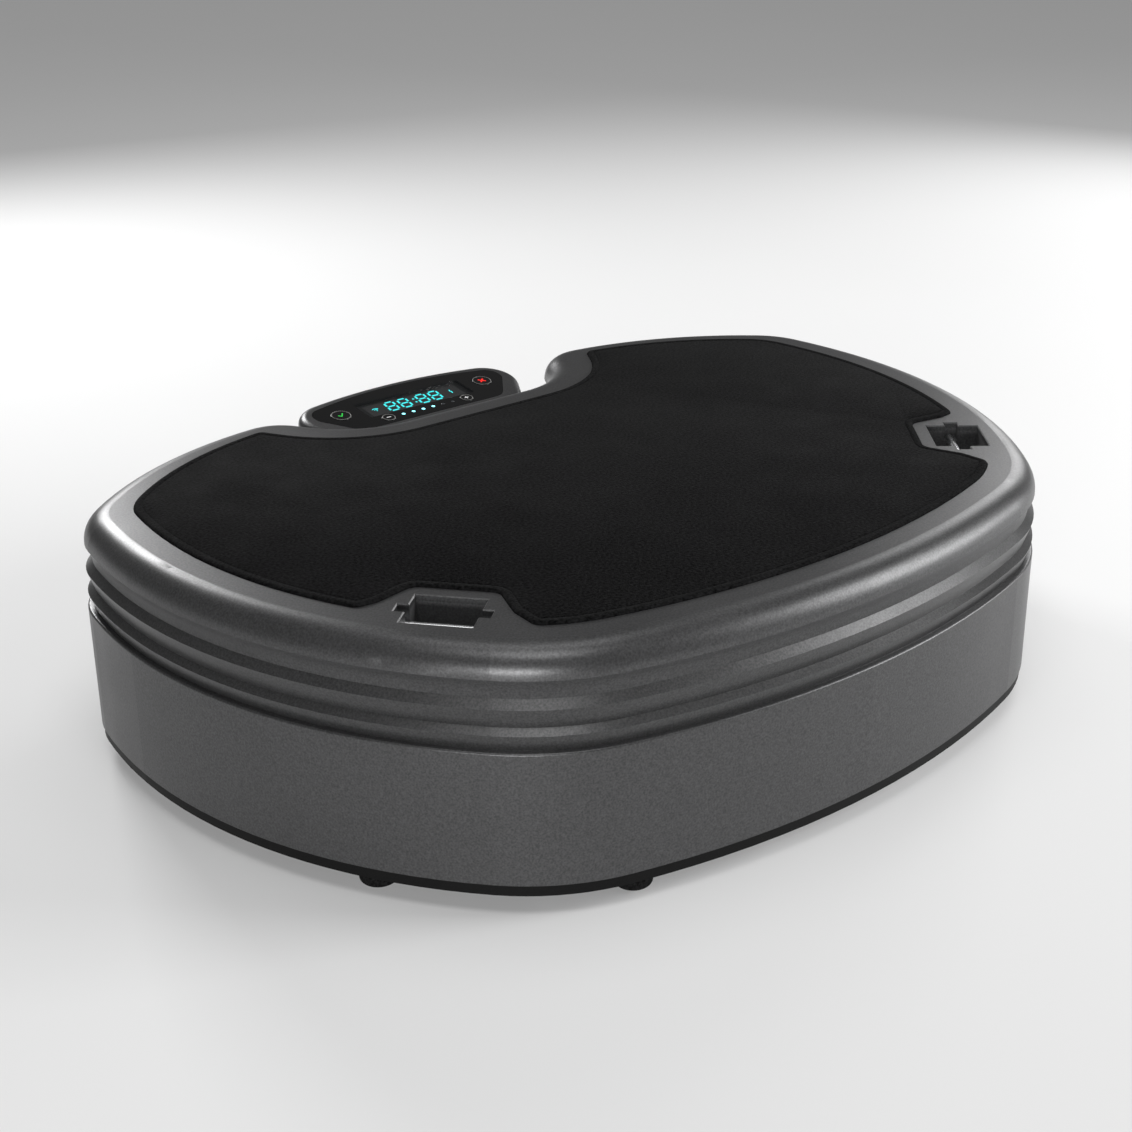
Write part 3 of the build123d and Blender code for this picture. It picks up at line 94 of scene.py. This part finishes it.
class Shader:
    """A material being built: a Principled shader and the few nodes that feed it."""

    def __init__(self, name, color, roughness, metallic=0.0, specular=0.5):
        self.material = bpy.data.materials.new(name)
        self.material.use_nodes = True
        self.tree = self.material.node_tree
        self.shader = self.tree.nodes["Principled BSDF"]
        self.color = color
        self.roughness = roughness
        self.set("Base Color", (*color, 1.0))
        self.set("Roughness", roughness)
        self.set("Metallic", metallic)
        self.set("Specular IOR Level", specular)
        self.coordinates = self.tree.nodes.new("ShaderNodeTexCoord").outputs["Object"]
        self.height = None

    def set(self, socket, value):
        self.shader.inputs[socket].default_value = value

    def node(self, kind, **inputs):
        made = self.tree.nodes.new(kind)
        for name, value in inputs.items():
            made.inputs[name.replace("_", " ")].default_value = value
        return made

    def link(self, source, target):
        self.tree.links.new(source, target)

    def noise(self, size, detail=2.0, stretch=(1, 1, 1)):
        """Noise whose features are about `size` metres."""
        mapping = self.node("ShaderNodeMapping")
        mapping.inputs["Scale"].default_value = tuple(s / size for s in stretch)
        self.link(self.coordinates, mapping.inputs["Vector"])
        noise = self.node("ShaderNodeTexNoise", Scale=1.0, Detail=detail)
        self.link(mapping.outputs["Vector"], noise.inputs["Vector"])
        return noise.outputs["Fac"]

    def cells(self, size):
        """Distance to the nearest grain, with grains about `size` metres apart."""
        mapping = self.node("ShaderNodeMapping")
        mapping.inputs["Scale"].default_value = (1 / size, 1 / size, 1 / size)
        self.link(self.coordinates, mapping.inputs["Vector"])
        cells = self.node("ShaderNodeTexVoronoi", Scale=1.0)
        self.link(mapping.outputs["Vector"], cells.inputs["Vector"])
        return cells.outputs["Distance"]

    def ranged(self, value, low, high, start=0.3, end=0.7):
        """The value, mapped from start..end to low..high."""
        made = self.node("ShaderNodeMapRange")
        for name, number in (("From Min", start), ("From Max", end), ("To Min", low), ("To Max", high)):
            made.inputs[name].default_value = number
        self.link(value, made.inputs["Value"])
        return made.outputs["Result"]

    def vary_color(self, value, spread):
        """Colour that goes darker and lighter by `spread` with the value."""
        mix = self.node("ShaderNodeMix")
        mix.data_type = "RGBA"
        colors = [s for s in mix.inputs if s.type == "RGBA"]
        colors[0].default_value = (*[c * (1 - spread) for c in self.color], 1)
        colors[1].default_value = (*[c * (1 + spread) for c in self.color], 1)
        self.link(self.ranged(value, 0, 1), mix.inputs["Factor"])
        output = [s for s in mix.outputs if s.type == "RGBA"][0]
        self.link(output, self.shader.inputs["Base Color"])
        return self

    def vary_roughness(self, value, spread):
        low = max(self.roughness - spread, 0.02)
        self.link(self.ranged(value, low, self.roughness + spread), self.shader.inputs["Roughness"])
        return self

    def bump(self, value, depth):
        """Relief of `depth` metres from a value between 0 and 1, on top of any relief before it."""
        bump = self.node("ShaderNodeBump", Distance=depth, Strength=1.0)
        self.link(value, bump.inputs["Height"])
        if self.height:
            self.link(self.height, bump.inputs["Normal"])
        self.height = bump.outputs["Normal"]
        self.link(self.height, self.shader.inputs["Normal"])
        return self


# ---------------------------------------------------------------- materials
UNEVENNESS = 90 * MM         # size of the broad unevenness of moulded plastic
UNEVENNESS_DEPTH = 0.25 * MM


def textured_plastic(
    name, color, roughness, grain=1.3 * MM, relief=0.035 * MM, speckle=0.3, metallic=0.0, specular=0.5
):
    """Moulded or sprayed plastic with a fine grain and faint broad unevenness."""
    made = Shader(name, color, roughness, metallic, specular)
    fine = made.noise(grain, detail=4)
    broad = made.noise(UNEVENNESS)
    made.vary_color(fine, speckle)
    made.vary_roughness(broad, 0.04)
    made.bump(fine, relief)
    made.bump(broad, UNEVENNESS_DEPTH)
    return made.material


def gritty_rubber(name, color, roughness, grain, relief):
    """Rubber with a pebbled face."""
    made = Shader(name, color, roughness, specular=0.05)
    made.vary_color(made.noise(2.0 * grain, detail=4), 0.95)
    made.vary_roughness(made.noise(40 * MM), 0.06)
    made.bump(made.cells(grain), relief)
    return made.material


def gloss_plastic(name, color, roughness=0.08):
    """Polished plastic with a very slight waviness and fine wipe marks."""
    made = Shader(name, color, roughness)
    made.vary_color(made.noise(25 * MM), 0.05)
    made.vary_roughness(made.noise(6 * MM, stretch=(1, 6, 1)), 0.02)
    made.bump(made.noise(18 * MM), 0.02 * MM)
    return made.material


def metal(name, color, roughness, stretch=(1, 1, 1), grain=0.8 * MM, relief=0.01 * MM):
    """Bare or plated metal; a stretched grain reads as brushed or turned."""
    made = Shader(name, color, roughness, metallic=1.0)
    grain_value = made.noise(grain, detail=4, stretch=stretch)
    made.vary_color(made.noise(15 * MM, detail=4), 0.08)
    made.vary_roughness(grain_value, 0.08)
    made.bump(grain_value, relief)
    return made.material


def lit(name, color, strength):
    """A surface that glows, a little unevenly."""
    made = Shader(name, color, 0.4)
    made.vary_color(made.noise(2 * MM), 0.06)
    made.set("Emission Color", (*color, 1))
    made.set("Emission Strength", strength)
    return made.material


def tinted_glass(name, color, roughness, alpha):
    """Thin dark window that lets what lies behind it through."""
    made = Shader(name, color, roughness)
    made.vary_roughness(made.noise(10 * MM), 0.01)
    made.set("Alpha", alpha)
    return made.material


shell_plastic = textured_plastic("shell_plastic", (0.080, 0.080, 0.0815), 0.38, metallic=0.65)
bellows_rubber = textured_plastic("bellows_rubber", (0.074, 0.074, 0.075), 0.36, metallic=0.6)
black_plastic = textured_plastic("black_plastic", (0.003, 0.003, 0.003), 0.5, specular=0.15)
# Painted light: the strap cups get a lighter, less metallic copy of the shell's grey, which stands in for
# light falling into the pockets.
cup_plastic = textured_plastic("cup_plastic", (0.10, 0.10, 0.102), 0.35, metallic=0.3)
mat_rubber = gritty_rubber("mat_rubber", (0.0065, 0.0065, 0.0067), 0.9, 1.0 * MM, 0.25 * MM)
foot_rubber = gritty_rubber("foot_rubber", (0.010, 0.010, 0.010), 0.7, 0.7 * MM, 0.05 * MM)
panel_gloss = gloss_plastic("panel_gloss", (0.002, 0.002, 0.0022))
key_gloss = gloss_plastic("key_gloss", (0.003, 0.003, 0.0033), 0.12)
display_grey = gloss_plastic("display_grey", (0.055, 0.055, 0.055), 0.35)
bezel_dark = gloss_plastic("bezel_dark", (0.008, 0.008, 0.008), 0.3)
ring_silver = metal("ring_silver", (0.75, 0.74, 0.72), 0.3)
pin_chrome = metal("pin_chrome", (0.90, 0.91, 0.92), 0.28, stretch=(1, 8, 1))
zinc_steel = metal("zinc_steel", (0.60, 0.61, 0.62), 0.32)
coated_steel = textured_plastic("coated_steel", (0.02, 0.02, 0.021), 0.45, grain=0.9 * MM, relief=0.05 * MM)
cast_aluminium = metal("cast_aluminium", (0.52, 0.53, 0.54), 0.5, grain=1.2 * MM, relief=0.08 * MM)
laminations = metal("laminations", (0.28, 0.25, 0.22), 0.5, stretch=(1, 40, 1))
ground_steel = metal("ground_steel", (0.62, 0.62, 0.64), 0.22, stretch=(1, 30, 1))
cast_iron = metal("cast_iron", (0.16, 0.16, 0.16), 0.6, grain=1.5 * MM, relief=0.12 * MM)
brass = metal("contact_brass", (0.78, 0.58, 0.25), 0.25)
supply_case = metal("supply_case", (0.5, 0.51, 0.52), 0.4, stretch=(1, 20, 1))
window_glass = tinted_glass("window_glass", (0.02, 0.022, 0.024), 0.06, 0.22)
board_green = gloss_plastic("board_green", (0.01, 0.09, 0.035), 0.35)
display_cyan = lit("display_cyan", (0.05, 0.78, 0.80), 1.6)
led_lit = lit("led_lit", (0.25, 0.85, 0.95), 2.2)
led_dark = gloss_plastic("led_dark", (0.03, 0.035, 0.04), 0.3)
# Painted light: the printed key symbols are made to glow like the lit display, though no lamp lights them.
icon_green_painted_glow = lit("icon_green_painted_glow", (0.02, 0.45, 0.05), 0.8)
icon_red_painted_glow = lit("icon_red_painted_glow", (0.75, 0.015, 0.01), 0.9)
icon_white_painted_glow = lit("icon_white_painted_glow", (0.6, 0.6, 0.6), 0.5)

PAINTS = {
    shell_plastic: ["top_shell", "lower_shell", "console_housing"],
    black_plastic: ["base_pan", "power_plate", "power_inlet", "switch_frame", "key_switches"],
    cup_plastic: ["strap_cup_right", "strap_cup_left"],
    foot_rubber: ["rubber_feet"],
    panel_gloss: ["console_panel"],
    key_gloss: ["start_key", "stop_key", "minus_key", "plus_key", "power_rocker"],
    bezel_dark: ["display_module"],
    window_glass: ["display_window"],
    led_dark: ["level_leds"],
    board_green: ["console_board", "drive_board"],
    pin_chrome: ["strap_pins"],
    zinc_steel: [
        "foot_screws", "foot_nuts", "shell_screws", "isolator_lower_bolts", "isolator_upper_bolts",
        "console_screws", "board_screws", "power_screws", "deck_screws", "motor_cap_screws",
        "clamp_screws", "motor_straps",
    ],
    coated_steel: [
        "base_rails", "isolator_base_plates", "isolator_top_plates", "deck_plate", "deck_legs",
        "deck_stiffeners",
    ],
    cast_aluminium: ["motor_housing_right", "motor_housing_left", "motor_caps", "motor_saddles", "heat_sink"],
    supply_case: ["power_supply"],
    ground_steel: ["motor_bearings", "rotor_shaft_right", "rotor_shaft_left"],
    laminations: ["stators", "rotor_core_right", "rotor_core_left"],
    cast_iron: ["eccentric_weights_right", "eccentric_weights_left"],
    brass: ["inlet_contacts"],
}
for material, nodes in PAINTS.items():
    for node in nodes:
        paint(node, material)


# ---------------------------------------------------------------- flexible skins across the deck's joint
def flexible_copy(node, name, material):
    """A copy of a flexible CAD node, lying between the base and the deck, in its own material; the CAD node
    is hidden.
    """
    skin = bpy.data.objects.new(name, frame["nodes"][node].data.copy())
    bpy.context.scene.collection.objects.link(skin)
    skin.data.materials.clear()
    skin.data.materials.append(material)
    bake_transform(skin)
    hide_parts(node)


flexible_copy("bellows", "bellows_skin", bellows_rubber)
flexible_copy("isolators", "isolator_blocks", foot_rubber)


# ---------------------------------------------------------------- standing mat
MAT_SPACING = 2.5 * MM       # between the points round the mat
MAT_EDGE = 2.2 * MM          # radius of the mat's rolled edge
MAT_EDGE_STEPS = 5
MAT_GROOVE_IN = 5.0 * MM     # a shallow moulded line runs round, this far in
MAT_GROOVE_WIDTH = 1.6 * MM
MAT_GROOVE_DEPTH = 0.5 * MM
MAT_GROOVE_STEPS = ((0.0, 0.0), (0.25, 0.7), (0.5, 1.0), (0.75, 0.7), (1.0, 0.0))   # shares of both
MAT_SHARP = 50               # degrees between faces that still shade as one surface
SAME_PLACE = 1e-6            # metres


def flat_outline(node):
    """The points round a flat CAD node's lower face, anticlockwise as seen from above."""
    bm = bmesh.new()
    bm.from_mesh(frame["nodes"][node].data)
    bmesh.ops.remove_doubles(bm, verts=bm.verts, dist=SAME_PLACE)
    bottom = min(v.co.z for v in bm.verts)
    lower_face = [f for f in bm.faces if all(abs(v.co.z - bottom) < SAME_PLACE for v in f.verts)]
    rim = {}
    for face in lower_face:
        for edge in face.edges:
            if sum(linked in lower_face for linked in edge.link_faces) == 1:
                a, b = edge.verts
                rim.setdefault(a, []).append(b)
                rim.setdefault(b, []).append(a)
    start = next(iter(rim))
    loop = [start]
    previous, current = start, rim[start][0]
    while current is not start:
        loop.append(current)
        following = [v for v in rim[current] if v is not previous][0]
        previous, current = current, following
    points = [Vector((v.co.x, v.co.y)) for v in loop]
    bm.free()
    area = sum(a.x * b.y - b.x * a.y for a, b in zip(points, points[1:] + points[:1]))
    return points if area > 0 else points[::-1]


def resample(points, spacing):
    """Points at an even spacing round a closed outline."""
    closed = points + points[:1]
    lengths = [(b - a).length for a, b in zip(closed, closed[1:])]
    count = int(sum(lengths) / spacing)
    step = sum(lengths) / count
    made = []
    index, covered = 0, 0.0
    for number in range(count):
        target = number * step
        while covered + lengths[index] < target:
            covered += lengths[index]
            index += 1
        made.append(closed[index].lerp(closed[index + 1], (target - covered) / lengths[index]))
    return made


def inward_normals(points):
    """Unit vectors into a closed outline that runs anticlockwise, one for each point."""
    normals = []
    for before, after in zip(points[-1:] + points[:-1], points[1:] + points[:1]):
        along = (after - before).normalized()
        normals.append(Vector((-along.y, along.x)))
    return normals


def standing_mat():
    """Moulded mat with a rolled edge and a shallow line round its border."""
    low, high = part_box("deck_mat")
    outline = resample(flat_outline("deck_mat"), MAT_SPACING)
    normals = inward_normals(outline)
    thickness = high[2] - low[2]
    profile = [(0.0, 0.0), (0.0, thickness - MAT_EDGE)]
    for step in range(1, MAT_EDGE_STEPS + 1):
        angle = step / MAT_EDGE_STEPS * pi / 2
        profile.append((MAT_EDGE * (1 - cos(angle)), thickness - MAT_EDGE * (1 - sin(angle))))
    for share, depth in MAT_GROOVE_STEPS:
        profile.append((MAT_GROOVE_IN + share * MAT_GROOVE_WIDTH, thickness - depth * MAT_GROOVE_DEPTH))
    bm = bmesh.new()
    rings = []
    for inward, height in profile:
        rings.append([
            bm.verts.new((p.x + n.x * inward, p.y + n.y * inward, low[2] + height))
            for p, n in zip(outline, normals)
        ])
    for lower, upper in zip(rings, rings[1:]):
        for index in range(len(outline)):
            following = (index + 1) % len(outline)
            bm.faces.new((lower[index], lower[following], upper[following], upper[index]))
    for ring in (rings[0], rings[-1]):
        edges = [bm.edges.get((a, b)) or bm.edges.new((a, b)) for a, b in zip(ring, ring[1:] + ring[:1])]
        bmesh.ops.triangle_fill(bm, edges=edges, use_beauty=True)
    mat = mesh_object("standing_mat", bm, mat_rubber, "deck")
    smooth(mat)
    mat.data.set_sharp_from_angle(angle=radians(MAT_SHARP))
    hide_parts("deck_mat")


standing_mat()


# ---------------------------------------------------------------- console markings
# Places on the console are millimetres across and up the slope, from the middle of its panel.
DISPLAY_MIDDLE = 0.5         # up the slope


def panel_frame():
    """Matrix from the console panel's face (across, up the slope, out) to the row frame."""
    press = next(j for j in frame["joints"] if j["name"] == "start_key_press")
    out = -Vector(press["axis"])
    across = Vector((1, 0, 0))
    slope = out.cross(across)
    low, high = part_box("display_window")
    window_far = Vector((0, high[1], high[2]))
    half_height = (Vector((0, high[1], high[2])) - Vector((0, low[1], low[2]))).dot(slope) / 2
    origin = window_far - slope * (half_height + DISPLAY_MIDDLE * MM)
    matrix = Matrix((across, slope, out)).transposed().to_4x4()
    matrix.translation = origin
    return matrix


panel = panel_frame()


PRINT_THICKNESS = 0.12 * MM


def flat_pieces(name, shapes, height, material, body, thickness=PRINT_THICKNESS):
    """Thin raised shapes on the panel; each shape is a list of (across, up) points."""
    bm = bmesh.new()
    for shape in shapes:
        base = [bm.verts.new(panel @ Vector((x * MM, y * MM, height))) for x, y in shape]
        top = [bm.verts.new(panel @ Vector((x * MM, y * MM, height + thickness))) for x, y in shape]
        bm.faces.new(top)
        bm.faces.new(base[::-1])
        for index in range(len(shape)):
            following = (index + 1) % len(shape)
            bm.faces.new((base[index], base[following], top[following], top[index]))
    return mesh_object(name, bm, material, body)


def ring_shapes(x, y, inner, outer, start=0.0, turn=2 * pi, count=48):
    """Quads that make a ring, or part of one."""
    shapes = []
    for step in range(count):
        a = start + turn * step / count
        b = start + turn * (step + 1) / count
        shapes.append([
            (x + inner * cos(a), y + inner * sin(a)),
            (x + outer * cos(a), y + outer * sin(a)),
            (x + outer * cos(b), y + outer * sin(b)),
            (x + inner * cos(b), y + inner * sin(b)),
        ])
    return shapes


def bar(x0, y0, x1, y1, width):
    """A straight stroke between two points."""
    along = Vector((x1 - x0, y1 - y0)).normalized()
    side = Vector((-along.y, along.x)) * width / 2
    return [
        (x0 - side.x, y0 - side.y),
        (x1 - side.x, y1 - side.y),
        (x1 + side.x, y1 + side.y),
        (x0 + side.x, y0 + side.y),
    ]


DISPLAY_DEPTH = -1.95 * MM   # from the panel's face to the display's
DISPLAY_SHEET = 0.1 * MM     # thickness of the grey sheet, with the digits on it
DIGIT_THICKNESS = 0.08 * MM
DISPLAY_HALF_WIDTH = 45
DISPLAY_HALF_HEIGHT = 9.5

DIGIT_WIDTH = 8.2
DIGIT_HEIGHT = 14.5
DIGIT_PITCH = 12.6
DIGIT_PAIRS = (-27.0, 3.0)   # left side of each pair of digits
DIGIT_LEAN = 0.12            # across, for each millimetre up
DIGIT_BASE = DISPLAY_MIDDLE - DIGIT_HEIGHT / 2
STROKE = 1.7
SEGMENT_GAP = 0.35

COLON_AT = -0.6
COLON_LEVELS = (4.2, 10.0)   # above the foot of the digits
COLON_DOT = 1.6

WAVE_ICON = (-37, DISPLAY_MIDDLE - 2)
WAVE_RADII = (2.2, 4.0)
WAVE_STROKE = 0.8
WAVE_START = 50              # degrees, where each wave's arc starts
WAVE_TURN = 80
WAVE_PIECES = 8
WAVE_DOT = 1.0
WAVE_DOT_RISE = 0.4

BOLT_ICON = (36.25, DISPLAY_MIDDLE)
BOLT_STROKE = 0.9
BOLT_STROKES = ((0.25, 3, -0.65, -0.3), (0.65, 0.3, -0.25, -3))   # each from and to, from the icon's middle


def digit_eight(x):
    """All seven segments of a display digit whose left side is at x."""
    middle = DIGIT_HEIGHT / 2
    inset = SEGMENT_GAP + STROKE / 2
    segments = []
    for level in (0, middle, DIGIT_HEIGHT):
        segments.append(bar(inset, level, DIGIT_WIDTH - inset, level, STROKE))
    for side in (0, DIGIT_WIDTH):
        for low in (0, middle):
            segments.append(bar(side, low + inset, side, low + middle - inset, STROKE))
    return [[(x + px + DIGIT_LEAN * py, DIGIT_BASE + py) for px, py in segment] for segment in segments]


def colon():
    """Two square dots, leaning as the digits do."""
    dots = []
    for level in COLON_LEVELS:
        x = COLON_AT + DIGIT_LEAN * level
        y = DIGIT_BASE + level
        dots.append(bar(x, y - COLON_DOT / 2, x, y + COLON_DOT / 2, COLON_DOT))
    return dots


def wave_icon():
    """A dot with two arcs over it."""
    x, y = WAVE_ICON
    shapes = []
    for radius in WAVE_RADII:
        outer = radius + WAVE_STROKE
        shapes += ring_shapes(x, y, radius, outer, radians(WAVE_START), radians(WAVE_TURN), WAVE_PIECES)
    level = y + WAVE_DOT_RISE
    shapes.append(bar(x - WAVE_DOT / 2, level, x + WAVE_DOT / 2, level, WAVE_DOT))
    return shapes


def bolt_icon():
    """Two slanted strokes, one below the other."""
    x, y = BOLT_ICON
    return [bar(x + x0, y + y0, x + x1, y + y1, BOLT_STROKE) for x0, y0, x1, y1 in BOLT_STROKES]


def display():
    """Grey display behind the window, with lit digits and a small icon at each end."""
    low = DISPLAY_MIDDLE - DISPLAY_HALF_HEIGHT
    high = DISPLAY_MIDDLE + DISPLAY_HALF_HEIGHT
    sheet = [
        (-DISPLAY_HALF_WIDTH, low),
        (DISPLAY_HALF_WIDTH, low),
        (DISPLAY_HALF_WIDTH, high),
        (-DISPLAY_HALF_WIDTH, high),
    ]
    flat_pieces("display_glass", [sheet], DISPLAY_DEPTH, display_grey, "base", DISPLAY_SHEET)
    shapes = []
    for start in DIGIT_PAIRS:
        shapes += digit_eight(start) + digit_eight(start + DIGIT_PITCH)
    shapes += colon() + wave_icon() + bolt_icon()
    digits_at = DISPLAY_DEPTH + DISPLAY_SHEET
    flat_pieces("display_digits", shapes, digits_at, display_cyan, "base", DIGIT_THICKNESS)


PRINT_HEIGHT = 0.28 * MM     # the foot of the print, just under the keys' faces
LARGE_KEYS = (69, 2)         # the large keys' places, one each side
SMALL_KEYS = (38, -19)
LARGE_RING = 8.0             # outer radius
SMALL_RING = 5.4
RING_STROKE = 0.75
TICK_STROKE = 0.9
TICK_STROKES = ((-2.6, 0.4, -0.4, -2.2), (-0.6, -2.2, 2.8, 2.6))   # each from and to, from the key's middle
CROSS_REACH = 2.4
CROSS_STROKE = 1.3
SIGN_REACH = 2
SIGN_STROKE = 0.8


def key_rings():
    """A silver ring printed on each key."""
    (large_x, large_y), (small_x, small_y) = LARGE_KEYS, SMALL_KEYS
    for key, x, y, radius in (
        ("start_key", -large_x, large_y, LARGE_RING),
        ("stop_key", large_x, large_y, LARGE_RING),
        ("minus_key", -small_x, small_y, SMALL_RING),
        ("plus_key", small_x, small_y, SMALL_RING),
    ):
        ring = ring_shapes(x, y, radius - RING_STROKE, radius)
        flat_pieces(key + "_ring", ring, PRINT_HEIGHT, ring_silver, key)


def key_symbols():
    """A tick on the start key, a cross on the stop key, and a minus and a plus, each printed with a painted
    glow.
    """
    x, y = LARGE_KEYS
    tick = [bar(x0 - x, y0 + y, x1 - x, y1 + y, TICK_STROKE) for x0, y0, x1, y1 in TICK_STROKES]
    flat_pieces("start_symbol", tick, PRINT_HEIGHT, icon_green_painted_glow, "start_key")
    cross = [
        bar(x - CROSS_REACH, y - rise, x + CROSS_REACH, y + rise, CROSS_STROKE)
        for rise in (CROSS_REACH, -CROSS_REACH)
    ]
    flat_pieces("stop_symbol", cross, PRINT_HEIGHT, icon_red_painted_glow, "stop_key")
    x, y = SMALL_KEYS
    minus = [bar(-x - SIGN_REACH, y, -x + SIGN_REACH, y, SIGN_STROKE)]
    flat_pieces("minus_symbol", minus, PRINT_HEIGHT, icon_white_painted_glow, "minus_key")
    plus = [
        bar(x - SIGN_REACH, y, x + SIGN_REACH, y, SIGN_STROKE),
        bar(x, y - SIGN_REACH, x, y + SIGN_REACH, SIGN_STROKE),
    ]
    flat_pieces("plus_symbol", plus, PRINT_HEIGHT, icon_white_painted_glow, "plus_key")


LED_COUNT = 6
LEDS_LIT = 4
LED_SPACING = 9.6
LED_ROW = -19.0
LENS_RADIUS = 1.5
LENS_FOOT = -0.2             # from the panel's face
LENS_RISE = 0.5
LENS_RINGS = 6
LENS_SIDES = 24


def lens_mesh(x):
    """A dome over the indicator light at x."""
    bm = bmesh.new()
    rings = []
    for step in range(LENS_RINGS):
        angle = step / LENS_RINGS * pi / 2
        radius = LENS_RADIUS * cos(angle)
        rise = LENS_FOOT + LENS_RISE * sin(angle)
        ring = []
        for side in range(LENS_SIDES):
            turn = side * 2 * pi / LENS_SIDES
            place = Vector((x + radius * cos(turn), LED_ROW + radius * sin(turn), rise))
            ring.append(bm.verts.new(panel @ (place * MM)))
        rings.append(ring)
    for lower, upper in zip(rings, rings[1:]):
        for index in range(LENS_SIDES):
            following = (index + 1) % LENS_SIDES
            bm.faces.new((lower[index], lower[following], upper[following], upper[index]))
    bm.faces.new(rings[-1])
    bm.faces.new(rings[0][::-1])
    return bm


def level_lights():
    """A domed lens over each indicator light; the first few are lit."""
    for number in range(LED_COUNT):
        x = (number - (LED_COUNT - 1) / 2) * LED_SPACING
        material = led_lit if number < LEDS_LIT else led_dark
        smooth(mesh_object(f"light_lens_{number + 1}", lens_mesh(x), material, "base"))


display()
key_rings()
key_symbols()
level_lights()


# ---------------------------------------------------------------- floor, light and camera
FLOOR_REACH = 30.0
FLOOR_WHITE = 0.62
FLOOR_GLOW = 0.2


def floor():
    """Pale floor, far wider than the view."""
    bm = bmesh.new()
    corners = [(-1, -1), (1, -1), (1, 1), (-1, 1)]
    bm.faces.new([bm.verts.new((x * FLOOR_REACH, y * FLOOR_REACH, 0)) for x, y in corners])
    made = Shader("floor_white", (FLOOR_WHITE, FLOOR_WHITE, FLOOR_WHITE), 0.7, specular=0.1)
    made.vary_color(made.noise(0.8), 0.01)
    made.set("Emission Color", (1, 1, 1, 1))
    made.set("Emission Strength", FLOOR_GLOW)
    mesh_object("floor", bm, made.material, None)


BODY_MIDDLE = (0, 0, 0.1)
SURROUNDINGS = 0.12          # strength of the even light from all round
LIGHTS = (                   # name, place, aim, width, height, watts
    ("key_right", (1.7, -1.5, 1.0), BODY_MIDDLE, 0.9, 1.2, 38),
    ("low_right", (1.7, -0.9, 0.4), BODY_MIDDLE, 0.8, 0.5, 6),
    ("low_front", (-1.8, -1.7, 0.42), (0, 0, 0.15), 0.8, 0.28, 27),
    ("over_front", (-0.6, -0.7, 1.9), BODY_MIDDLE, 1.0, 0.6, 10),
    ("over_middle", (0.1, 0.2, 2.2), BODY_MIDDLE, 1.3, 0.8, 7),
    ("rear_right", (2.0, 0.65, 1.0), BODY_MIDDLE, 0.7, 1.2, 13),
    ("rear_left", (0.1, 1.85, 1.05), (-0.2, 0, 0.1), 0.5, 0.5, 20),
)


def area_light(name, place, aim, width, height, power):
    """A soft rectangular light that looks at a point."""
    data = bpy.data.lights.new(name, "AREA")
    data.shape = "RECTANGLE"
    data.size = width
    data.size_y = height
    data.energy = power
    lamp = bpy.data.objects.new(name, data)
    lamp.location = place
    lamp.rotation_euler = (Vector(aim) - Vector(place)).to_track_quat("-Z", "Y").to_euler()
    bpy.context.scene.collection.objects.link(lamp)


def studio():
    """Dim surroundings and soft lights: a key at the right, a low one in front, others above and behind."""
    world = bpy.data.worlds.new("studio")
    world.use_nodes = True
    background = world.node_tree.nodes["Background"]
    background.inputs["Color"].default_value = (1, 1, 1, 1)
    background.inputs["Strength"].default_value = SURROUNDINGS
    bpy.context.scene.world = world
    for light in LIGHTS:
        area_light(*light)
    bpy.context.scene.view_settings.view_transform = "Standard"


SENSOR = 36.0
IMAGE_SIZE = 1132            # pixels each way
FOCAL_IN_PIXELS = 1736
HEADING = 40.38              # degrees to the right of +Y
PITCH = 23.93                # degrees below level
CAMERA_PLACE = (-0.7531, -0.8930, 0.6069)
AXIS_RIGHT_OF_MIDDLE = 37    # of the image, in pixels of its full size
NEAR_LIMIT = 0.05
FAR_LIMIT = 60


def camera():
    """The fitted camera; the lens is shifted, because the picture was cropped."""
    data = bpy.data.cameras.new("camera")
    data.sensor_width = SENSOR
    data.lens = FOCAL_IN_PIXELS / IMAGE_SIZE * SENSOR
    data.shift_x = -AXIS_RIGHT_OF_MIDDLE / IMAGE_SIZE
    data.clip_start = NEAR_LIMIT
    data.clip_end = FAR_LIMIT
    obj = bpy.data.objects.new("camera", data)
    obj.location = CAMERA_PLACE
    obj.rotation_euler = (radians(90 - PITCH), 0, -radians(HEADING))
    bpy.context.scene.collection.objects.link(obj)
    bpy.context.scene.camera = obj


floor()
studio()
camera()
